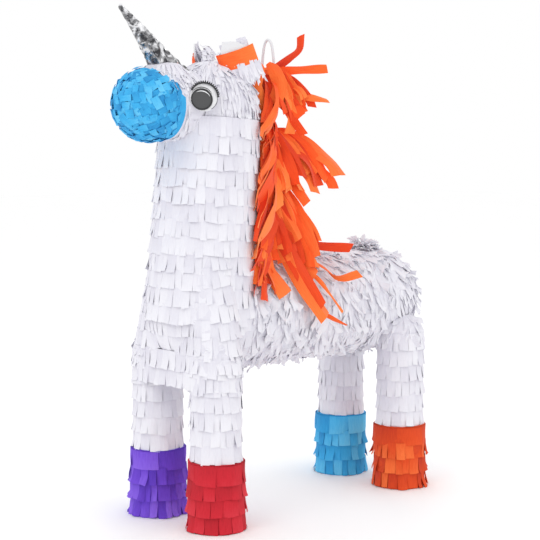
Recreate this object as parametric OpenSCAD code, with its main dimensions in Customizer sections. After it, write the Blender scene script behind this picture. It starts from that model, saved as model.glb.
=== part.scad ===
// Unicorn pinata: a hollow cardboard animal covered with rows of cut tissue paper.
// It stands on z = 0, faces -Y, and its own left side is +X. Millimetres throughout.

/* [Body] */
// Radius of the rolled cardboard body tube, outside
body_r = 54; // [52:0.5:56]
// Height of the body tube's axis above the floor
body_z = 209; // [206:1:214]
// Length of the straight part of the body tube
body_len = 246; // [240:1:252]
// Thickness of the cardboard of body, neck and head
wall = 2.5; // [2:0.1:3]

/* [Neck and head] */
// Radius of the neck cone where it meets the body
neck_base_r = 52.5; // [50:0.5:54]
// Radius of the neck cone under the head
neck_top_r = 47; // [45:0.5:49]
// Radius of the papier-mache head ball
head_r = 48; // [46:0.5:50]
// Height of the head ball's centre
head_z = 418; // [414:1:422]
// Radius of the muzzle tube and of its round front
muzzle_r = 33; // [31:0.5:35]
// Radius of the forehead bump between muzzle and horn
forehead_r = 26; // [24:0.5:28]

/* [Horn] */
// Length of the horn cone along its axis
horn_len = 125; // [118:1:130]
// Radius of the horn cone at its buried base
horn_base_r = 18.5; // [17:0.5:20]
// Lean of the horn forward from upright, degrees
horn_lean = 43.5; // [41:0.5:46]

/* [Legs] */
// Distance between the front and rear leg axes
wheel_base = 274; // [268:1:280]
// Distance between the left and right leg axes
leg_spacing = 92; // [90:1:96]
// Radius of the cardboard leg tubes
leg_r = 23; // [22:0.5:24]
// Wall of the leg tubes
leg_wall = 2; // [1.5:0.1:2.5]
// Height of the coloured part of each foot
foot_h = 70; // [64:1:76]

/* [Paper fringe] */
// Depth of the tissue fringe on body, neck and head
fringe_t = 5; // [4:0.5:6]
// Depth of the fringe on the upper legs
leg_fringe_t = 4.5; // [3.5:0.5:5.5]
// Depth of the flared fringe on the feet
foot_fringe_t = 9; // [7:0.5:10]

/* [Filling flap] */
// Length of the flap along the body
flap_len = 90; // [80:1:100]
// Lower edge of the flap, degrees above the middle of the flank
flap_low = -5; // [-8:1:0]
// Upper, hinged edge of the flap, degrees above the middle of the flank
flap_high = 50; // [46:1:54]
// Gap cut round the flap
flap_gap = 0.5; // [0.4:0.1:0.8]

/* [Hanging loop] */
// Diameter of the cord
cord_d = 3; // [2.5:0.1:3.5]
// Distance between the two places where the cord leaves the mane
loop_w = 17; // [15:0.5:19]

/* [Hidden] */
$fn = 96;

big = 400;                                   // larger than any piece, for cutting
skin_r = body_r + fringe_t;                  // outside of the body's fringe
chest_y = -100;                              // centre of the round chest
rump_y = chest_y + body_len;                 // centre of the round rump
leg_x = leg_spacing / 2;
front_y = -122;                              // front leg axes
rear_y = front_y + wheel_base;               // rear leg axes
leg_top_z = 170;                             // where the tube closes in to a dome
disc_t = 2;                                  // thickness of a foot disc
pad_hang = 20;                               // the chest pad hangs this far between the legs
pad_low_r = 27;                              // its corners start from the legs with this radius
pad_top = [24, -113, 282];                   // they lean in to here
pad_top_r = 25;

neck_y = -102;                               // foot of the neck's axis, at body_z
neck_rise = 206;                             // height of the neck's axis
neck_set = 14;                               // how far back the neck leans over that height
neck_lean = atan(neck_set / neck_rise);
neck_len = norm([neck_rise, neck_set]);
seam_turn = 40;                              // where round the neck its fringe is joined

head_y = neck_y + 13;
collar_z = 400;                              // the neck's fringe ends and the head's begins
muzzle_y = -167;                             // centre of the muzzle's round front
muzzle_z = 423;
patch_y = muzzle_y + 18;                     // the blue patch ends here
patch_tilt = 39;                             // slope of the patch's upper edge
patch_top = [0, muzzle_y - 16, muzzle_z + 35];  // a point on that edge's plane
forehead_y = -148;
forehead_z = 440;

horn_tip = [0, -202, 518.3];
horn_tip_r = 1.5;
foil_t = 1;

eye_at = [39, -130.3, 430];
eye_yaw = 61;                                // turn of the eye from straight ahead
eye_pitch = 10;                              // tilt of the eye upwards
eye_r = 14;
eye_t = 0.8;
pupil_r = 10.5;
pupil_t = 0.6;
pupil_shift = [-2.2, -2.2];                  // low and forward on the card
seat_depth = 30;                             // the fringe is cut away this far out from the card

ear_at = [31, -79, 470];
ear_yaw = 47;
ear_roll = -20;
ear_t = 1.5;
slot_gap = 0.1;
ear_shape = [[-15, -20], [15, -20], [17, 4], [4, 16], [-9, 20], [-16, 6]];
slot_from = [-16, -21];                      // the part of an ear that stands in the head's fringe
slot_size = [32, 24];
ear_band_from = [-19, -10];
ear_band_size = [38, 17];
ear_band_t = 2;
ear_fringe_r = 15;
ear_fringe_d = 8;

flap_mid_y = 25;                             // middle of the flap along the body
flap_y0 = flap_mid_y - flap_len / 2;
flap_y1 = flap_mid_y + flap_len / 2;
flap_edge = flap_gap / body_r * 180 / PI;    // the gap as an angle
crease = 6.5;                                // bare strip on each side of the hinge, degrees
tape_t = 0.4;
tape_inset = 2;                              // the tape is this much shorter than the flap at each end

loop_at = [11, -18, 464.5];                  // middle of the line the loop swings about
cord_r = cord_d / 2;
washer_r = 11;
washer_t = 2;
washer_d = 42;                               // how far the washer's face is from the head's centre
hole_r = cord_r + 0.5;
tail_gap = 4;                                // each inner end's distance from the washer's middle
tail_drop = 3;                               // the tails end below the loop, which leaves it room to swing
knot_r = 5.5;
tuft_r = 16;
tuft_at = [0, rump_y - 7, body_z + skin_r + 2];

band_t = 2.5;                                // the mane's backing band
band_w = 22;
band_z = [290, 455];                         // from the lowest to the highest point of the band
mane_x0 = -8;                                // right edge of the bundles
crest_x1 = 26;                               // left edges: they fall over to the left
upper_x1 = 32;
lower_x1 = 38;
crest_shape = [[-60, 461], [-8, 461], [4, 440], [6, 385], [-60, 385]];
upper_shape = [[-60, 384.7], [4, 384.7], [10, 350], [2, 300.3], [-60, 300.3]];
lower_shape = [[-60, 300], [0, 300], [40, 290], [58, 276], [58, 262], [-60, 262]];
flank_t = 6.5;                               // strips on the left flank: depth, place along the body, angles
flank_y = [-46, 20];
flank_a = [2, 48];
streamer_y = -10;
streamer_t = 1.2;
streamers = [[10, 450, 12, 56], [16, 428, 9, 50], [16, 372, 14, 56], [8, 322, 10, 66]];  // x, z, width, reach

// The loop's route above the mane, from one root to the other
loop_route = [[-8.5, 0, 0.5], [-8.5, 0, 5], [-7.8, 0, 10], [-7, 0, 15], [-5.8, 0, 20], [-3.6, 0, 24.5],
              [0, 0, 26.5],
              [3.6, 0, 24.5], [5.8, 0, 20], [7, 0, 15], [7.8, 0, 10], [8.5, 0, 5], [8.5, 0, 0.5]];
cord_sides = 8;

// --- helpers -------------------------------------------------------------

// A cylinder or cone between two points
module rod(p, q, r1, r2) {
    d = q - p;
    translate(p) rotate([0, acos(d[2] / norm(d)), atan2(d[1], d[0])]) cylinder(h = norm(d), r1 = r1, r2 = r2);
}

// The body's outline at a given radius: a tube with two round ends
module body_solid(r) {
    translate([0, chest_y, body_z]) rotate([-90, 0, 0]) cylinder(h = body_len, r = r);
    translate([0, chest_y, body_z]) sphere(r);
    translate([0, rump_y, body_z]) sphere(r);
}

// The neck cone, grown outwards by g and longer at both ends by past, turned about its own axis
module neck_solid(g, past = 0, turn = 0) {
    flare = (neck_base_r - neck_top_r) * past / neck_len;
    translate([0, neck_y, body_z]) rotate([-neck_lean, 0, 0]) rotate([0, 0, turn])
        translate([0, 0, -past])
        cylinder(h = neck_len + 2 * past, r1 = neck_base_r + g + flare, r2 = neck_top_r + g - flare);
}

module head_solid(g) {
    translate([0, head_y, head_z]) sphere(head_r + g);
}

// The muzzle: a tube out of the head with a round front
module muzzle_solid(g) {
    translate([0, muzzle_y, muzzle_z]) sphere(muzzle_r + g);
    translate([0, muzzle_y, muzzle_z]) rotate([-90, 0, 0]) cylinder(h = head_y - muzzle_y, r = muzzle_r + g);
}

module forehead_solid(g) {
    translate([0, forehead_y, forehead_z]) sphere(forehead_r + g);
}

// The horn cone, grown outwards by g
module horn_solid(g) {
    translate(horn_tip) rotate([horn_lean - 180, 0, 0])
        cylinder(h = horn_len, r1 = horn_tip_r + g, r2 = horn_base_r + g);
}

// A leg at [x, y]: a tube from z0 upwards, closed by a dome
module leg_solid(x, y, r, z0) {
    translate([x, y, z0]) cylinder(h = leg_top_z - z0, r = r);
    translate([x, y, leg_top_z]) sphere(r);
}

module all_leg_cores() {
    for (x = [-leg_x, leg_x], y = [front_y, rear_y]) leg_solid(x, y, leg_r, foot_h);
}

// Turns a ring drawn round Z into one round the body's axis; angles start at the right flank, upwards
module round_body() {
    translate([0, 0, body_z]) rotate([90, 0, 180]) children();
}

module body_sector(r0, r1, y0, y1, a0, a1) {
    round_body() translate([0, 0, y0]) rotate([0, 0, a0])
        rotate_extrude(angle = a1 - a0) translate([r0, 0]) square([r1 - r0, y1 - y0]);
}

// The wedge above the slanted upper edge of the muzzle's blue patch
module above_patch() {
    translate(patch_top) rotate([-patch_tilt, 0, 0])
        translate([-big / 2, -big / 2, 0]) cube(big);
}

module behind_patch() {
    translate([-big / 2, patch_y, 0]) cube([big, big, 2 * big]);
}

module mirrored(side) {
    mirror([side < 0 ? 1 : 0, 0, 0]) children();
}

// The eye's own frame: its back lies on z = 0 and it faces +Z
module at_eye(side) {
    mirrored(side) translate(eye_at) rotate([90 - eye_pitch, 0, eye_yaw]) children();
}

module eye_seats() {
    for (side = [-1, 1]) at_eye(side) cylinder(h = seat_depth, r = eye_r + 0.3);
}

// The ear's own frame: a flat outline grows to t thick, from y = back towards the outside
module ear_plate(side, back, t) {
    mirrored(side) translate(ear_at) rotate([0, ear_roll, ear_yaw])
        translate([0, -back, 0]) rotate([90, 0, 0]) linear_extrude(t) children();
}

// Slots in the head's fringe that the buried part of the ears stands in
module ear_slots() {
    for (side = [-1, 1])
        ear_plate(side, -slot_gap, ear_t + 2 * slot_gap) translate(slot_from) square(slot_size);
}

function cord_axis() = (loop_at - [0, head_y, head_z]) / norm(loop_at - [0, head_y, head_z]);
function tail_start(s) = loop_at + [s * loop_w / 2, 0, -tail_drop];
function tail_end(s) = [0, head_y, head_z] + cord_axis() * (washer_d - 4) + [s * tail_gap, 0, 0];

module cord_holes() {
    for (s = [-1, 1]) rod(tail_start(s), tail_end(s), hole_r, hole_r);
}

// --- cardboard structure ---------------------------------------------------

module torso_tube() {
    color("burlywood") difference() {
        translate([0, chest_y, body_z]) rotate([-90, 0, 0]) cylinder(h = body_len, r = body_r);
        translate([0, chest_y - 1, body_z]) rotate([-90, 0, 0]) cylinder(h = body_len + 2, r = body_r - wall);
        body_sector(body_r - wall - 2, body_r + 2, flap_y0, flap_y1, flap_low, flap_high);
    }
}

module body_cap(y, dir) {
    color("burlywood") translate([0, y, body_z]) difference() {
        sphere(body_r);
        sphere(body_r - wall);
        translate([-big / 2, dir > 0 ? -big : 0, -big / 2]) cube(big);
    }
}

module chest_cap() { body_cap(chest_y, -1); }

module rump_cap() { body_cap(rump_y, 1); }

module neck_shell() {
    color("burlywood") difference() {
        neck_solid(0);
        neck_solid(-wall, 2);
        body_solid(body_r);
        head_solid(0);
    }
}

module head_shell() {
    color("tan") difference() {
        union() {
            head_solid(0);
            difference() {
                forehead_solid(0);
                muzzle_solid(0);
            }
        }
        head_solid(-wall);
        difference() {
            forehead_solid(-wall);
            muzzle_solid(wall);
        }
        cord_holes();
    }
}

module muzzle_shell() {
    color("tan") difference() {
        muzzle_solid(0);
        muzzle_solid(-wall);
        head_solid(0);
        neck_solid(0);
    }
}

module leg_tube(x, y) {
    color("burlywood") difference() {
        leg_solid(x, y, leg_r, disc_t);
        leg_solid(x, y, leg_r - leg_wall, disc_t - 1);
        body_solid(body_r);
    }
}

module leg_tube_front_left() { leg_tube(leg_x, front_y); }
module leg_tube_front_right() { leg_tube(-leg_x, front_y); }
module leg_tube_rear_left() { leg_tube(leg_x, rear_y); }
module leg_tube_rear_right() { leg_tube(-leg_x, rear_y); }

module foot_disc(x, y) {
    color("peru") translate([x, y, 0]) cylinder(h = disc_t, r = leg_r);
}

module foot_disc_front_left() { foot_disc(leg_x, front_y); }
module foot_disc_front_right() { foot_disc(-leg_x, front_y); }
module foot_disc_rear_left() { foot_disc(leg_x, rear_y); }
module foot_disc_rear_right() { foot_disc(-leg_x, rear_y); }

// --- horn ------------------------------------------------------------------

module horn_cone() {
    color("whitesmoke") difference() {
        horn_solid(0);
        forehead_solid(0);
        muzzle_solid(0);
        head_solid(0);
    }
}

module horn_foil() {
    color("silver") difference() {
        horn_solid(foil_t);
        horn_solid(0);
        forehead_solid(0);
        muzzle_solid(0);
        head_solid(0);
    }
}

// --- ears --------------------------------------------------------------------

module ear_card(side) {
    color("white") difference() {
        ear_plate(side, 0, ear_t) polygon(ear_shape);
        head_solid(0);
    }
}

module ear_card_left() { ear_card(1); }
module ear_card_right() { ear_card(-1); }

// Folded crepe band across the outer face
module ear_band(side) {
    color("darkorange") difference() {
        ear_plate(side, ear_t, ear_band_t) translate(ear_band_from) square(ear_band_size);
        head_solid(fringe_t);
    }
}

module ear_band_left() { ear_band(1); }
module ear_band_right() { ear_band(-1); }

// White fringe on the inner face
module ear_fringe(side) {
    color("white") difference() {
        ear_plate(side, -ear_fringe_d, ear_fringe_d) translate([0, -2]) circle(ear_fringe_r);
        head_solid(fringe_t);
    }
}

module ear_fringe_left() { ear_fringe(1); }
module ear_fringe_right() { ear_fringe(-1); }

// --- eyes --------------------------------------------------------------------

module eye_card(side) {
    color("white") at_eye(side) cylinder(h = eye_t, r = eye_r);
}

module eye_card_left() { eye_card(1); }
module eye_card_right() { eye_card(-1); }

module eye_pupil(side) {
    color("dimgray") at_eye(side) translate([pupil_shift[0], pupil_shift[1], eye_t]) cylinder(h = pupil_t, r = pupil_r);
}

module eye_pupil_left() { eye_pupil(1); }
module eye_pupil_right() { eye_pupil(-1); }

// --- hanging loop ------------------------------------------------------------

module cord_washer() {
    c = [0, head_y, head_z];
    color("peru") difference() {
        rod(c + cord_axis() * (washer_d - washer_t), c + cord_axis() * washer_d, washer_r, washer_r);
        cord_holes();
    }
}

// Knot inside the head that the cord cannot pull through the washer
module cord_stopper() {
    color("white") difference() {
        translate([0, head_y, head_z] + cord_axis() * (washer_d - washer_t - knot_r - 0.5)) sphere(knot_r);
        cord_holes();
    }
}

module cord_tails() {
    color("white") for (s = [-1, 1]) rod(tail_start(s), tail_end(s), cord_r, cord_r);
}

// Unit direction of the route at point i
function along(path, i) =
    let (a = path[max(i - 1, 0)], b = path[min(i + 1, len(path) - 1)]) (b - a) / norm(b - a);

// A tube of n sides swept along a flat route in the XZ plane, with closed ends
module swept_cord(path, r, n) {
    rings = len(path);
    points = [for (i = [0 : rings - 1], k = [0 : n - 1])
        let (t = i == 0 || i == rings - 1 ? [0, 0, i == 0 ? 1 : -1] : along(path, i), side = [t[2], 0, -t[0]])
        path[i] + r * cos(360 * k / n) * side + r * sin(360 * k / n) * [0, 1, 0]];
    walls = [for (i = [0 : rings - 2], k = [0 : n - 1])
        [i * n + k, i * n + (k + 1) % n, (i + 1) * n + (k + 1) % n, (i + 1) * n + k]];
    first = [for (k = [n - 1 : -1 : 0]) k];
    last = [for (k = [0 : n - 1]) (rings - 1) * n + k];
    polyhedron(points, concat(walls, [first], [last]));
}

module hanging_cord() {
    color("white") translate(loop_at) swept_cord(loop_route, cord_r, cord_sides);
}

// --- filling flap --------------------------------------------------------------

module fill_flap() {
    color("burlywood") body_sector(body_r - wall, body_r, flap_y0 + flap_gap, flap_y1 - flap_gap,
        flap_low + flap_edge, flap_high - flap_edge);
}

// Paper tape that lets the flap turn about its upper edge
module flap_tape() {
    color("wheat") body_sector(body_r, body_r + tape_t, flap_y0 + tape_inset, flap_y1 - tape_inset,
        flap_high - crease + 0.5, flap_high + crease - 0.5);
}

module fringe_flap() {
    color("white") body_sector(body_r, skin_r, flap_y0 + flap_gap, flap_y1 - flap_gap,
        flap_low + flap_edge, flap_high - crease - 1);
}

// --- white fringe ----------------------------------------------------------------

module fringe_torso() {
    color("white") difference() {
        translate([0, chest_y, body_z]) rotate([-90, 0, 0]) cylinder(h = body_len, r = skin_r);
        translate([0, chest_y - 1, body_z]) rotate([-90, 0, 0]) cylinder(h = body_len + 2, r = body_r);
        neck_solid(0);
        all_leg_cores();
        body_sector(body_r - 1, skin_r + 2, flap_y0, flap_y1, flap_low, flap_high + crease);
    }
}

module fringe_cap(y, dir) {
    color("white") difference() {
        translate([0, y, body_z]) sphere(skin_r);
        translate([0, y, body_z]) sphere(body_r);
        translate([-big / 2, dir > 0 ? y - big : y, body_z - big / 2]) cube(big);
        neck_solid(0);
        all_leg_cores();
    }
}

module fringe_chest() { fringe_cap(chest_y, -1); }

module fringe_rump() { fringe_cap(rump_y, 1); }

// Crumpled paper that fills the corners between the chest, the neck and the front legs
module chest_pad() {
    rise = [0, pad_top[1] - front_y, pad_top[2] - leg_top_z];
    web = pad_top_r - 1;
    color("white") difference() {
        union() {
            for (side = [-1, 1])
                rod([side * leg_x, front_y, leg_top_z], [side * pad_top[0], pad_top[1], pad_top[2]], pad_low_r, pad_top_r);
            translate([0, front_y, leg_top_z]) rotate([90 - atan2(rise[1], rise[2]), 0, 0])
                translate([0, 0, -web]) linear_extrude(2 * web)
                    polygon([[-leg_x, -pad_hang], [leg_x, -pad_hang], [leg_x, 0],
                             [pad_top[0], norm(rise)], [-pad_top[0], norm(rise)], [-leg_x, 0]]);
        }
        body_solid(skin_r);
        neck_solid(fringe_t);
        for (side = [-1, 1]) leg_solid(side * leg_x, front_y, leg_r + leg_fringe_t, foot_h);
    }
}

// Loose tuft of tissue on top of the rump
module fringe_rump_tuft() {
    color("white") difference() {
        translate(tuft_at) sphere(tuft_r);
        body_solid(skin_r);
    }
}

module fringe_neck() {
    color("white") difference() {
        neck_solid(fringe_t, 0, seam_turn);
        neck_solid(0, 2, seam_turn);
        body_solid(skin_r);
        muzzle_solid(fringe_t);
        translate([-big / 2, -big, collar_z]) cube([big, 2 * big, big]);
    }
}

module fringe_head() {
    color("white") difference() {
        head_solid(fringe_t);
        head_solid(0);
        translate([-big / 2, -big, collar_z - big]) cube([big, 2 * big, big]);
        neck_solid(0);
        muzzle_solid(fringe_t);
        forehead_solid(fringe_t);
        horn_solid(foil_t);
        ear_slots();
        eye_seats();
        cord_holes();
    }
}

// White fringe over forehead and snout, behind and above the blue patch
module fringe_snout() {
    color("white") difference() {
        union() {
            intersection() {
                muzzle_solid(fringe_t);
                union() {
                    above_patch();
                    behind_patch();
                }
            }
            forehead_solid(fringe_t);
        }
        forehead_solid(0);
        muzzle_solid(0);
        head_solid(0);
        neck_solid(0);
        horn_solid(foil_t);
        eye_seats();
    }
}

module fringe_muzzle() {
    color("deepskyblue") difference() {
        muzzle_solid(fringe_t);
        muzzle_solid(0);
        forehead_solid(fringe_t);
        above_patch();
        behind_patch();
    }
}

module fringe_leg(x, y) {
    color("white") difference() {
        leg_solid(x, y, leg_r + leg_fringe_t, foot_h);
        leg_solid(x, y, leg_r, foot_h - 1);
        body_solid(skin_r);
        neck_solid(fringe_t);
    }
}

module fringe_leg_front_left() { fringe_leg(leg_x, front_y); }
module fringe_leg_front_right() { fringe_leg(-leg_x, front_y); }
module fringe_leg_rear_left() { fringe_leg(leg_x, rear_y); }
module fringe_leg_rear_right() { fringe_leg(-leg_x, rear_y); }

// --- coloured feet -----------------------------------------------------------------

module fringe_foot(x, y, paint) {
    color(paint) translate([x, y, 0]) difference() {
        cylinder(h = foot_h, r = leg_r + foot_fringe_t);
        translate([0, 0, -1]) cylinder(h = foot_h + 2, r = leg_r);
    }
}

module fringe_foot_front_left() { fringe_foot(leg_x, front_y, "crimson"); }
module fringe_foot_front_right() { fringe_foot(-leg_x, front_y, "rebeccapurple"); }
module fringe_foot_rear_left() { fringe_foot(leg_x, rear_y, "orangered"); }
module fringe_foot_rear_right() { fringe_foot(-leg_x, rear_y, "deepskyblue"); }

// --- mane: bundles of crepe strips, here as plain closed shapes ------------------------

// Back of neck and head, grown outwards by g
module nape(g) {
    neck_solid(g);
    head_solid(g);
}

module mane_band() {
    color("orangered") intersection() {
        difference() {
            nape(fringe_t + band_t);
            nape(fringe_t);
            cord_holes();
        }
        translate([-band_w / 2, head_y + 20, band_z[0]]) cube([band_w, big, band_z[1] - band_z[0]]);
    }
}

// A bundle between x = x0 and x1 whose outline is a list of [y, z] points
module mane_slab(x0, x1, outline) {
    translate([x0, 0, 0]) rotate([90, 0, 90]) linear_extrude(x1 - x0) polygon(outline);
}

module mane_bundle(x1, outline) {
    color("orangered") difference() {
        mane_slab(mane_x0, x1, outline);
        nape(fringe_t + band_t);
        body_solid(skin_r + 0.3);
        cord_holes();
    }
}

module mane_crest() { mane_bundle(crest_x1, crest_shape); }

module mane_upper() { mane_bundle(upper_x1, upper_shape); }

module mane_lower() { mane_bundle(lower_x1, lower_shape); }

// Strips that lie down over the body's left flank
module mane_flank() {
    color("orangered") difference() {
        mirror([1, 0, 0])
            body_sector(skin_r + 0.5, skin_r + 0.5 + flank_t, flank_y[0], flank_y[1], flank_a[0], flank_a[1]);
        nape(fringe_t + band_t);
    }
}

// Single strips that stand out behind the bundles
module mane_streamers() {
    color("orangered") difference() {
        for (strip = streamers)
            translate([strip[0], streamer_y, strip[1]]) cube([strip[2], strip[3], streamer_t]);
        mane_slab(mane_x0, crest_x1, crest_shape);
        mane_slab(mane_x0, upper_x1, upper_shape);
    }
}

torso_tube();
chest_cap();
rump_cap();
neck_shell();
head_shell();
muzzle_shell();
leg_tube_front_left();
leg_tube_front_right();
leg_tube_rear_left();
leg_tube_rear_right();
foot_disc_front_left();
foot_disc_front_right();
foot_disc_rear_left();
foot_disc_rear_right();
horn_cone();
horn_foil();
ear_card_left();
ear_card_right();
ear_band_left();
ear_band_right();
ear_fringe_left();
ear_fringe_right();
eye_card_left();
eye_card_right();
eye_pupil_left();
eye_pupil_right();
cord_washer();
cord_stopper();
cord_tails();
hanging_cord();
fill_flap();
flap_tape();
fringe_flap();
fringe_torso();
fringe_chest();
fringe_rump();
fringe_rump_tuft();
chest_pad();
fringe_neck();
fringe_head();
fringe_snout();
fringe_muzzle();
fringe_leg_front_left();
fringe_leg_front_right();
fringe_leg_rear_left();
fringe_leg_rear_right();
fringe_foot_front_left();
fringe_foot_front_right();
fringe_foot_rear_left();
fringe_foot_rear_right();
mane_band();
mane_crest();
mane_upper();
mane_lower();
mane_flank();
mane_streamers();
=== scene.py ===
# %% [markdown]
# # A unicorn pinata in cut tissue paper
# The real figure is a hollow cardboard animal. Rows of tissue paper are glued over it, each row cut
# into tabs that hang down over the row below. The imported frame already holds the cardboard, the joints
# and a plain closed skin for every patch of fringe. This lesson puts real paper in place of those skins.
# Every tab could be placed by hand or by a hair system. A hair system would not survive the export and a
# hand could not place several thousand tabs, so each patch is worked out as arrays: rows, cuts, sheets.

# %% Load the frame
import bmesh
import bpy
import numpy as np
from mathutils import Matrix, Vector


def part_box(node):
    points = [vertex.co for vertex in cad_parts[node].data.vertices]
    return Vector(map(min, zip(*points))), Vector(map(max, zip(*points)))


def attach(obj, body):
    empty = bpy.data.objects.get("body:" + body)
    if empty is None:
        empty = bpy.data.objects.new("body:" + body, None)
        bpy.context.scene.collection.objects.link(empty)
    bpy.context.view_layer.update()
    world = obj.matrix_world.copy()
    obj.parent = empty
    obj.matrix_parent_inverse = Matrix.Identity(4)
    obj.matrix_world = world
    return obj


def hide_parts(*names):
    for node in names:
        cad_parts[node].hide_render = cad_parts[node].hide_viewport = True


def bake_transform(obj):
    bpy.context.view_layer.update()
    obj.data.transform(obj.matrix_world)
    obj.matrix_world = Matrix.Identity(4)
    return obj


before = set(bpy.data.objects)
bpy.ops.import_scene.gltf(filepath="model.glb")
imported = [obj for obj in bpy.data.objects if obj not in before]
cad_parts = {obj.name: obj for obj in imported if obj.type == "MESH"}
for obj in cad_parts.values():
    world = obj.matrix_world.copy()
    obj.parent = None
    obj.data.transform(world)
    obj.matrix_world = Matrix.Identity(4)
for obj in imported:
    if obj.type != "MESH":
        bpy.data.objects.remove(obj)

MM = 0.001                                   # every length below is in millimetres
MIRROR = np.array([-1.0, 1, 1])              # from the animal's left side to its right
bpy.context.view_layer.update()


# %% [markdown]
# ## The camera and the light of the room
# A long lens from the animal's front left, a little above its back, keeps the legs nearly parallel.
# The camera looks along a plain direction, so its turn is worked out from that and not typed in as angles.

# %% Camera
CAMERA_AT = Vector((1.1502, -1.0847, 0.4024))
CAMERA_LOOKS = Vector((-0.72566, 0.68126, -0.09647))

lens = bpy.data.cameras.new("camera")
lens.lens = 99.26
lens.sensor_width = 36.0
camera = bpy.data.objects.new("camera", lens)
camera.location = CAMERA_AT
camera.rotation_euler = CAMERA_LOOKS.to_track_quat("-Z", "Y").to_euler()
bpy.context.collection.objects.link(camera)
bpy.context.scene.camera = camera
bpy.context.scene.view_settings.view_transform = "Standard"
print("camera at", tuple(CAMERA_AT))


# %% [markdown]
# ## Sheets of paper as arrays
# A tab, a ribbon and a piece of tape are all one thing: a thin sheet whose middle is a grid of points.
# The sheet could be a single surface, but the 3-D print and the overlap test need a closed body, so the
# grid gets a back a third of a millimetre behind it and walls round its edge. One table of faces serves
# every sheet of the same grid, shifted by the number of points before it.

# %% Small array helpers
def unit(v):
    """Vectors scaled to length one along the last axis."""
    return v / np.maximum(np.linalg.norm(v, axis=-1, keepdims=True), 1e-9)


def spread(rng, low_high, shape):
    """Random numbers between the two ends of a pair, one for each place in shape."""
    return rng.uniform(low_high[0], low_high[1], shape)


def turned(points, axis, degrees):
    """Points turned about the X, Y or Z axis through the origin, by the right-hand rule."""
    a = np.radians(degrees)
    i, j = {"X": (1, 2), "Y": (2, 0), "Z": (0, 1)}[axis]
    out = np.array(points, float)
    out[..., i], out[..., j] = (points[..., i] * np.cos(a) - points[..., j] * np.sin(a),
                                points[..., i] * np.sin(a) + points[..., j] * np.cos(a))
    return out


# %% The faces of one closed sheet
def sheet_faces(nu, nv):
    """Quads of a sheet of nv rows of nu points: the front grid, the same grid behind it turned round,
    and a wall on each edge, whose first two corners run against the front's own edge."""
    k = np.arange(nu * nv).reshape(nv, nu)
    front = np.stack([k[:-1, :-1], k[:-1, 1:], k[1:, 1:], k[1:, :-1]], -1).reshape(-1, 4)
    rim = np.concatenate([k[0, :-1], k[:-1, -1], k[-1, :0:-1], k[:0:-1, 0]])
    after = np.roll(rim, -1)
    walls = np.stack([after, rim, rim + nu * nv, after + nu * nv], -1)
    return np.concatenate([front, front[:, ::-1] + nu * nv, walls])


def sheets(front, thick, tone, across, along):
    """Closed sheets from their front grids, shaped (sheets, nv, nu, 3). The surface normal is the cross
    product of the steps along the grid's two ways, and the back lies thick behind the front.
    tone is one number for each sheet; across and along are each grid point's place on the flat paper."""
    count, nv, nu = front.shape[:3]
    normal = unit(np.cross(np.gradient(front, axis=2), np.gradient(front, axis=1)))
    points = np.stack([front, front - thick * normal], 1)
    faces = sheet_faces(nu, nv) + (np.arange(count) * 2 * nu * nv)[:, None, None]
    both = (count, 2, nv, nu)
    # tip runs from 0 at the grid's first row to 1 at its last; the paper materials paint shade where it is
    # low.
    tip = np.broadcast_to(np.linspace(0, 1, nv)[None, None, :, None], both)
    flat = np.stack([np.broadcast_to(across[:, None], both), np.broadcast_to(along[:, None], both)], -1)
    tones = np.broadcast_to(np.asarray(tone)[:, None, None, None], both)
    return {"points": points.reshape(-1, 3), "faces": [faces.reshape(-1, 4)],
            "tone": tones.ravel(), "tip": tip.ravel(), "flat": flat.reshape(-1, 2)}


# %% From arrays to a Blender object
def gather(parts):
    """Several sets of arrays as one, with each set's faces shifted past the points before it."""
    starts = np.cumsum([0] + [len(p["points"]) for p in parts[:-1]])
    return {"points": np.concatenate([p["points"] for p in parts]),
            "faces": [f + s for p, s in zip(parts, starts) for f in p["faces"]],
            **{k: np.concatenate([p[k] for p in parts]) for k in ("tone", "tip", "flat")}}


def put_mesh(name, part, material, smooth=True):
    """A mesh object from arrays in millimetres: points, lists of faces, and the numbers that its
    material reads, which are tone (one for each sheet), tip (0 at the root to 1, which sets the painted
    shade at the root) and the flat paper."""
    mesh = bpy.data.meshes.new(name)
    corners = np.concatenate([f.ravel() for f in part["faces"]])
    sizes = np.concatenate([np.full(len(f), f.shape[1]) for f in part["faces"]])
    mesh.vertices.add(len(part["points"]))
    mesh.vertices.foreach_set("co", (part["points"] * MM).ravel())
    mesh.loops.add(len(corners))
    mesh.loops.foreach_set("vertex_index", corners)
    mesh.polygons.add(len(sizes))
    mesh.polygons.foreach_set("loop_start", np.cumsum(sizes) - sizes)
    mesh.polygons.foreach_set("use_smooth", np.full(len(sizes), smooth))
    for key in ("tone", "tip"):
        mesh.attributes.new(key, "FLOAT", "POINT").data.foreach_set("value", part[key])
    mesh.uv_layers.new(name="UVMap").data.foreach_set("uv", (part["flat"][corners] * MM).ravel())
    mesh.update(calc_edges=True)
    if smooth:
        mesh.set_sharp_from_angle(angle=np.radians(50))
    mesh.materials.append(material)
    obj = bpy.data.objects.new(name, mesh)
    bpy.context.collection.objects.link(obj)
    return obj


def plain(points, faces):
    """Arrays of a part that has no paper grid of its own: a middling tone, and its plan as the flat."""
    n = len(points)
    return {"points": points, "faces": faces, "tone": np.full(n, 0.5), "tip": np.zeros(n),
            "flat": points[:, :2] * 1.0}


def finish_piece(name, part, material, body="root", stands_for=None, smooth=True):
    """Makes the object, lets it ride on its body and hides the CAD skin it stands for."""
    obj = put_mesh(name, part, material, smooth)
    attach(obj, body)
    if stands_for:
        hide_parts(*stands_for)
    print(f"{name}: {len(part['points'])} points, {sum(len(f) for f in part['faces'])} faces")
    return obj
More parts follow.
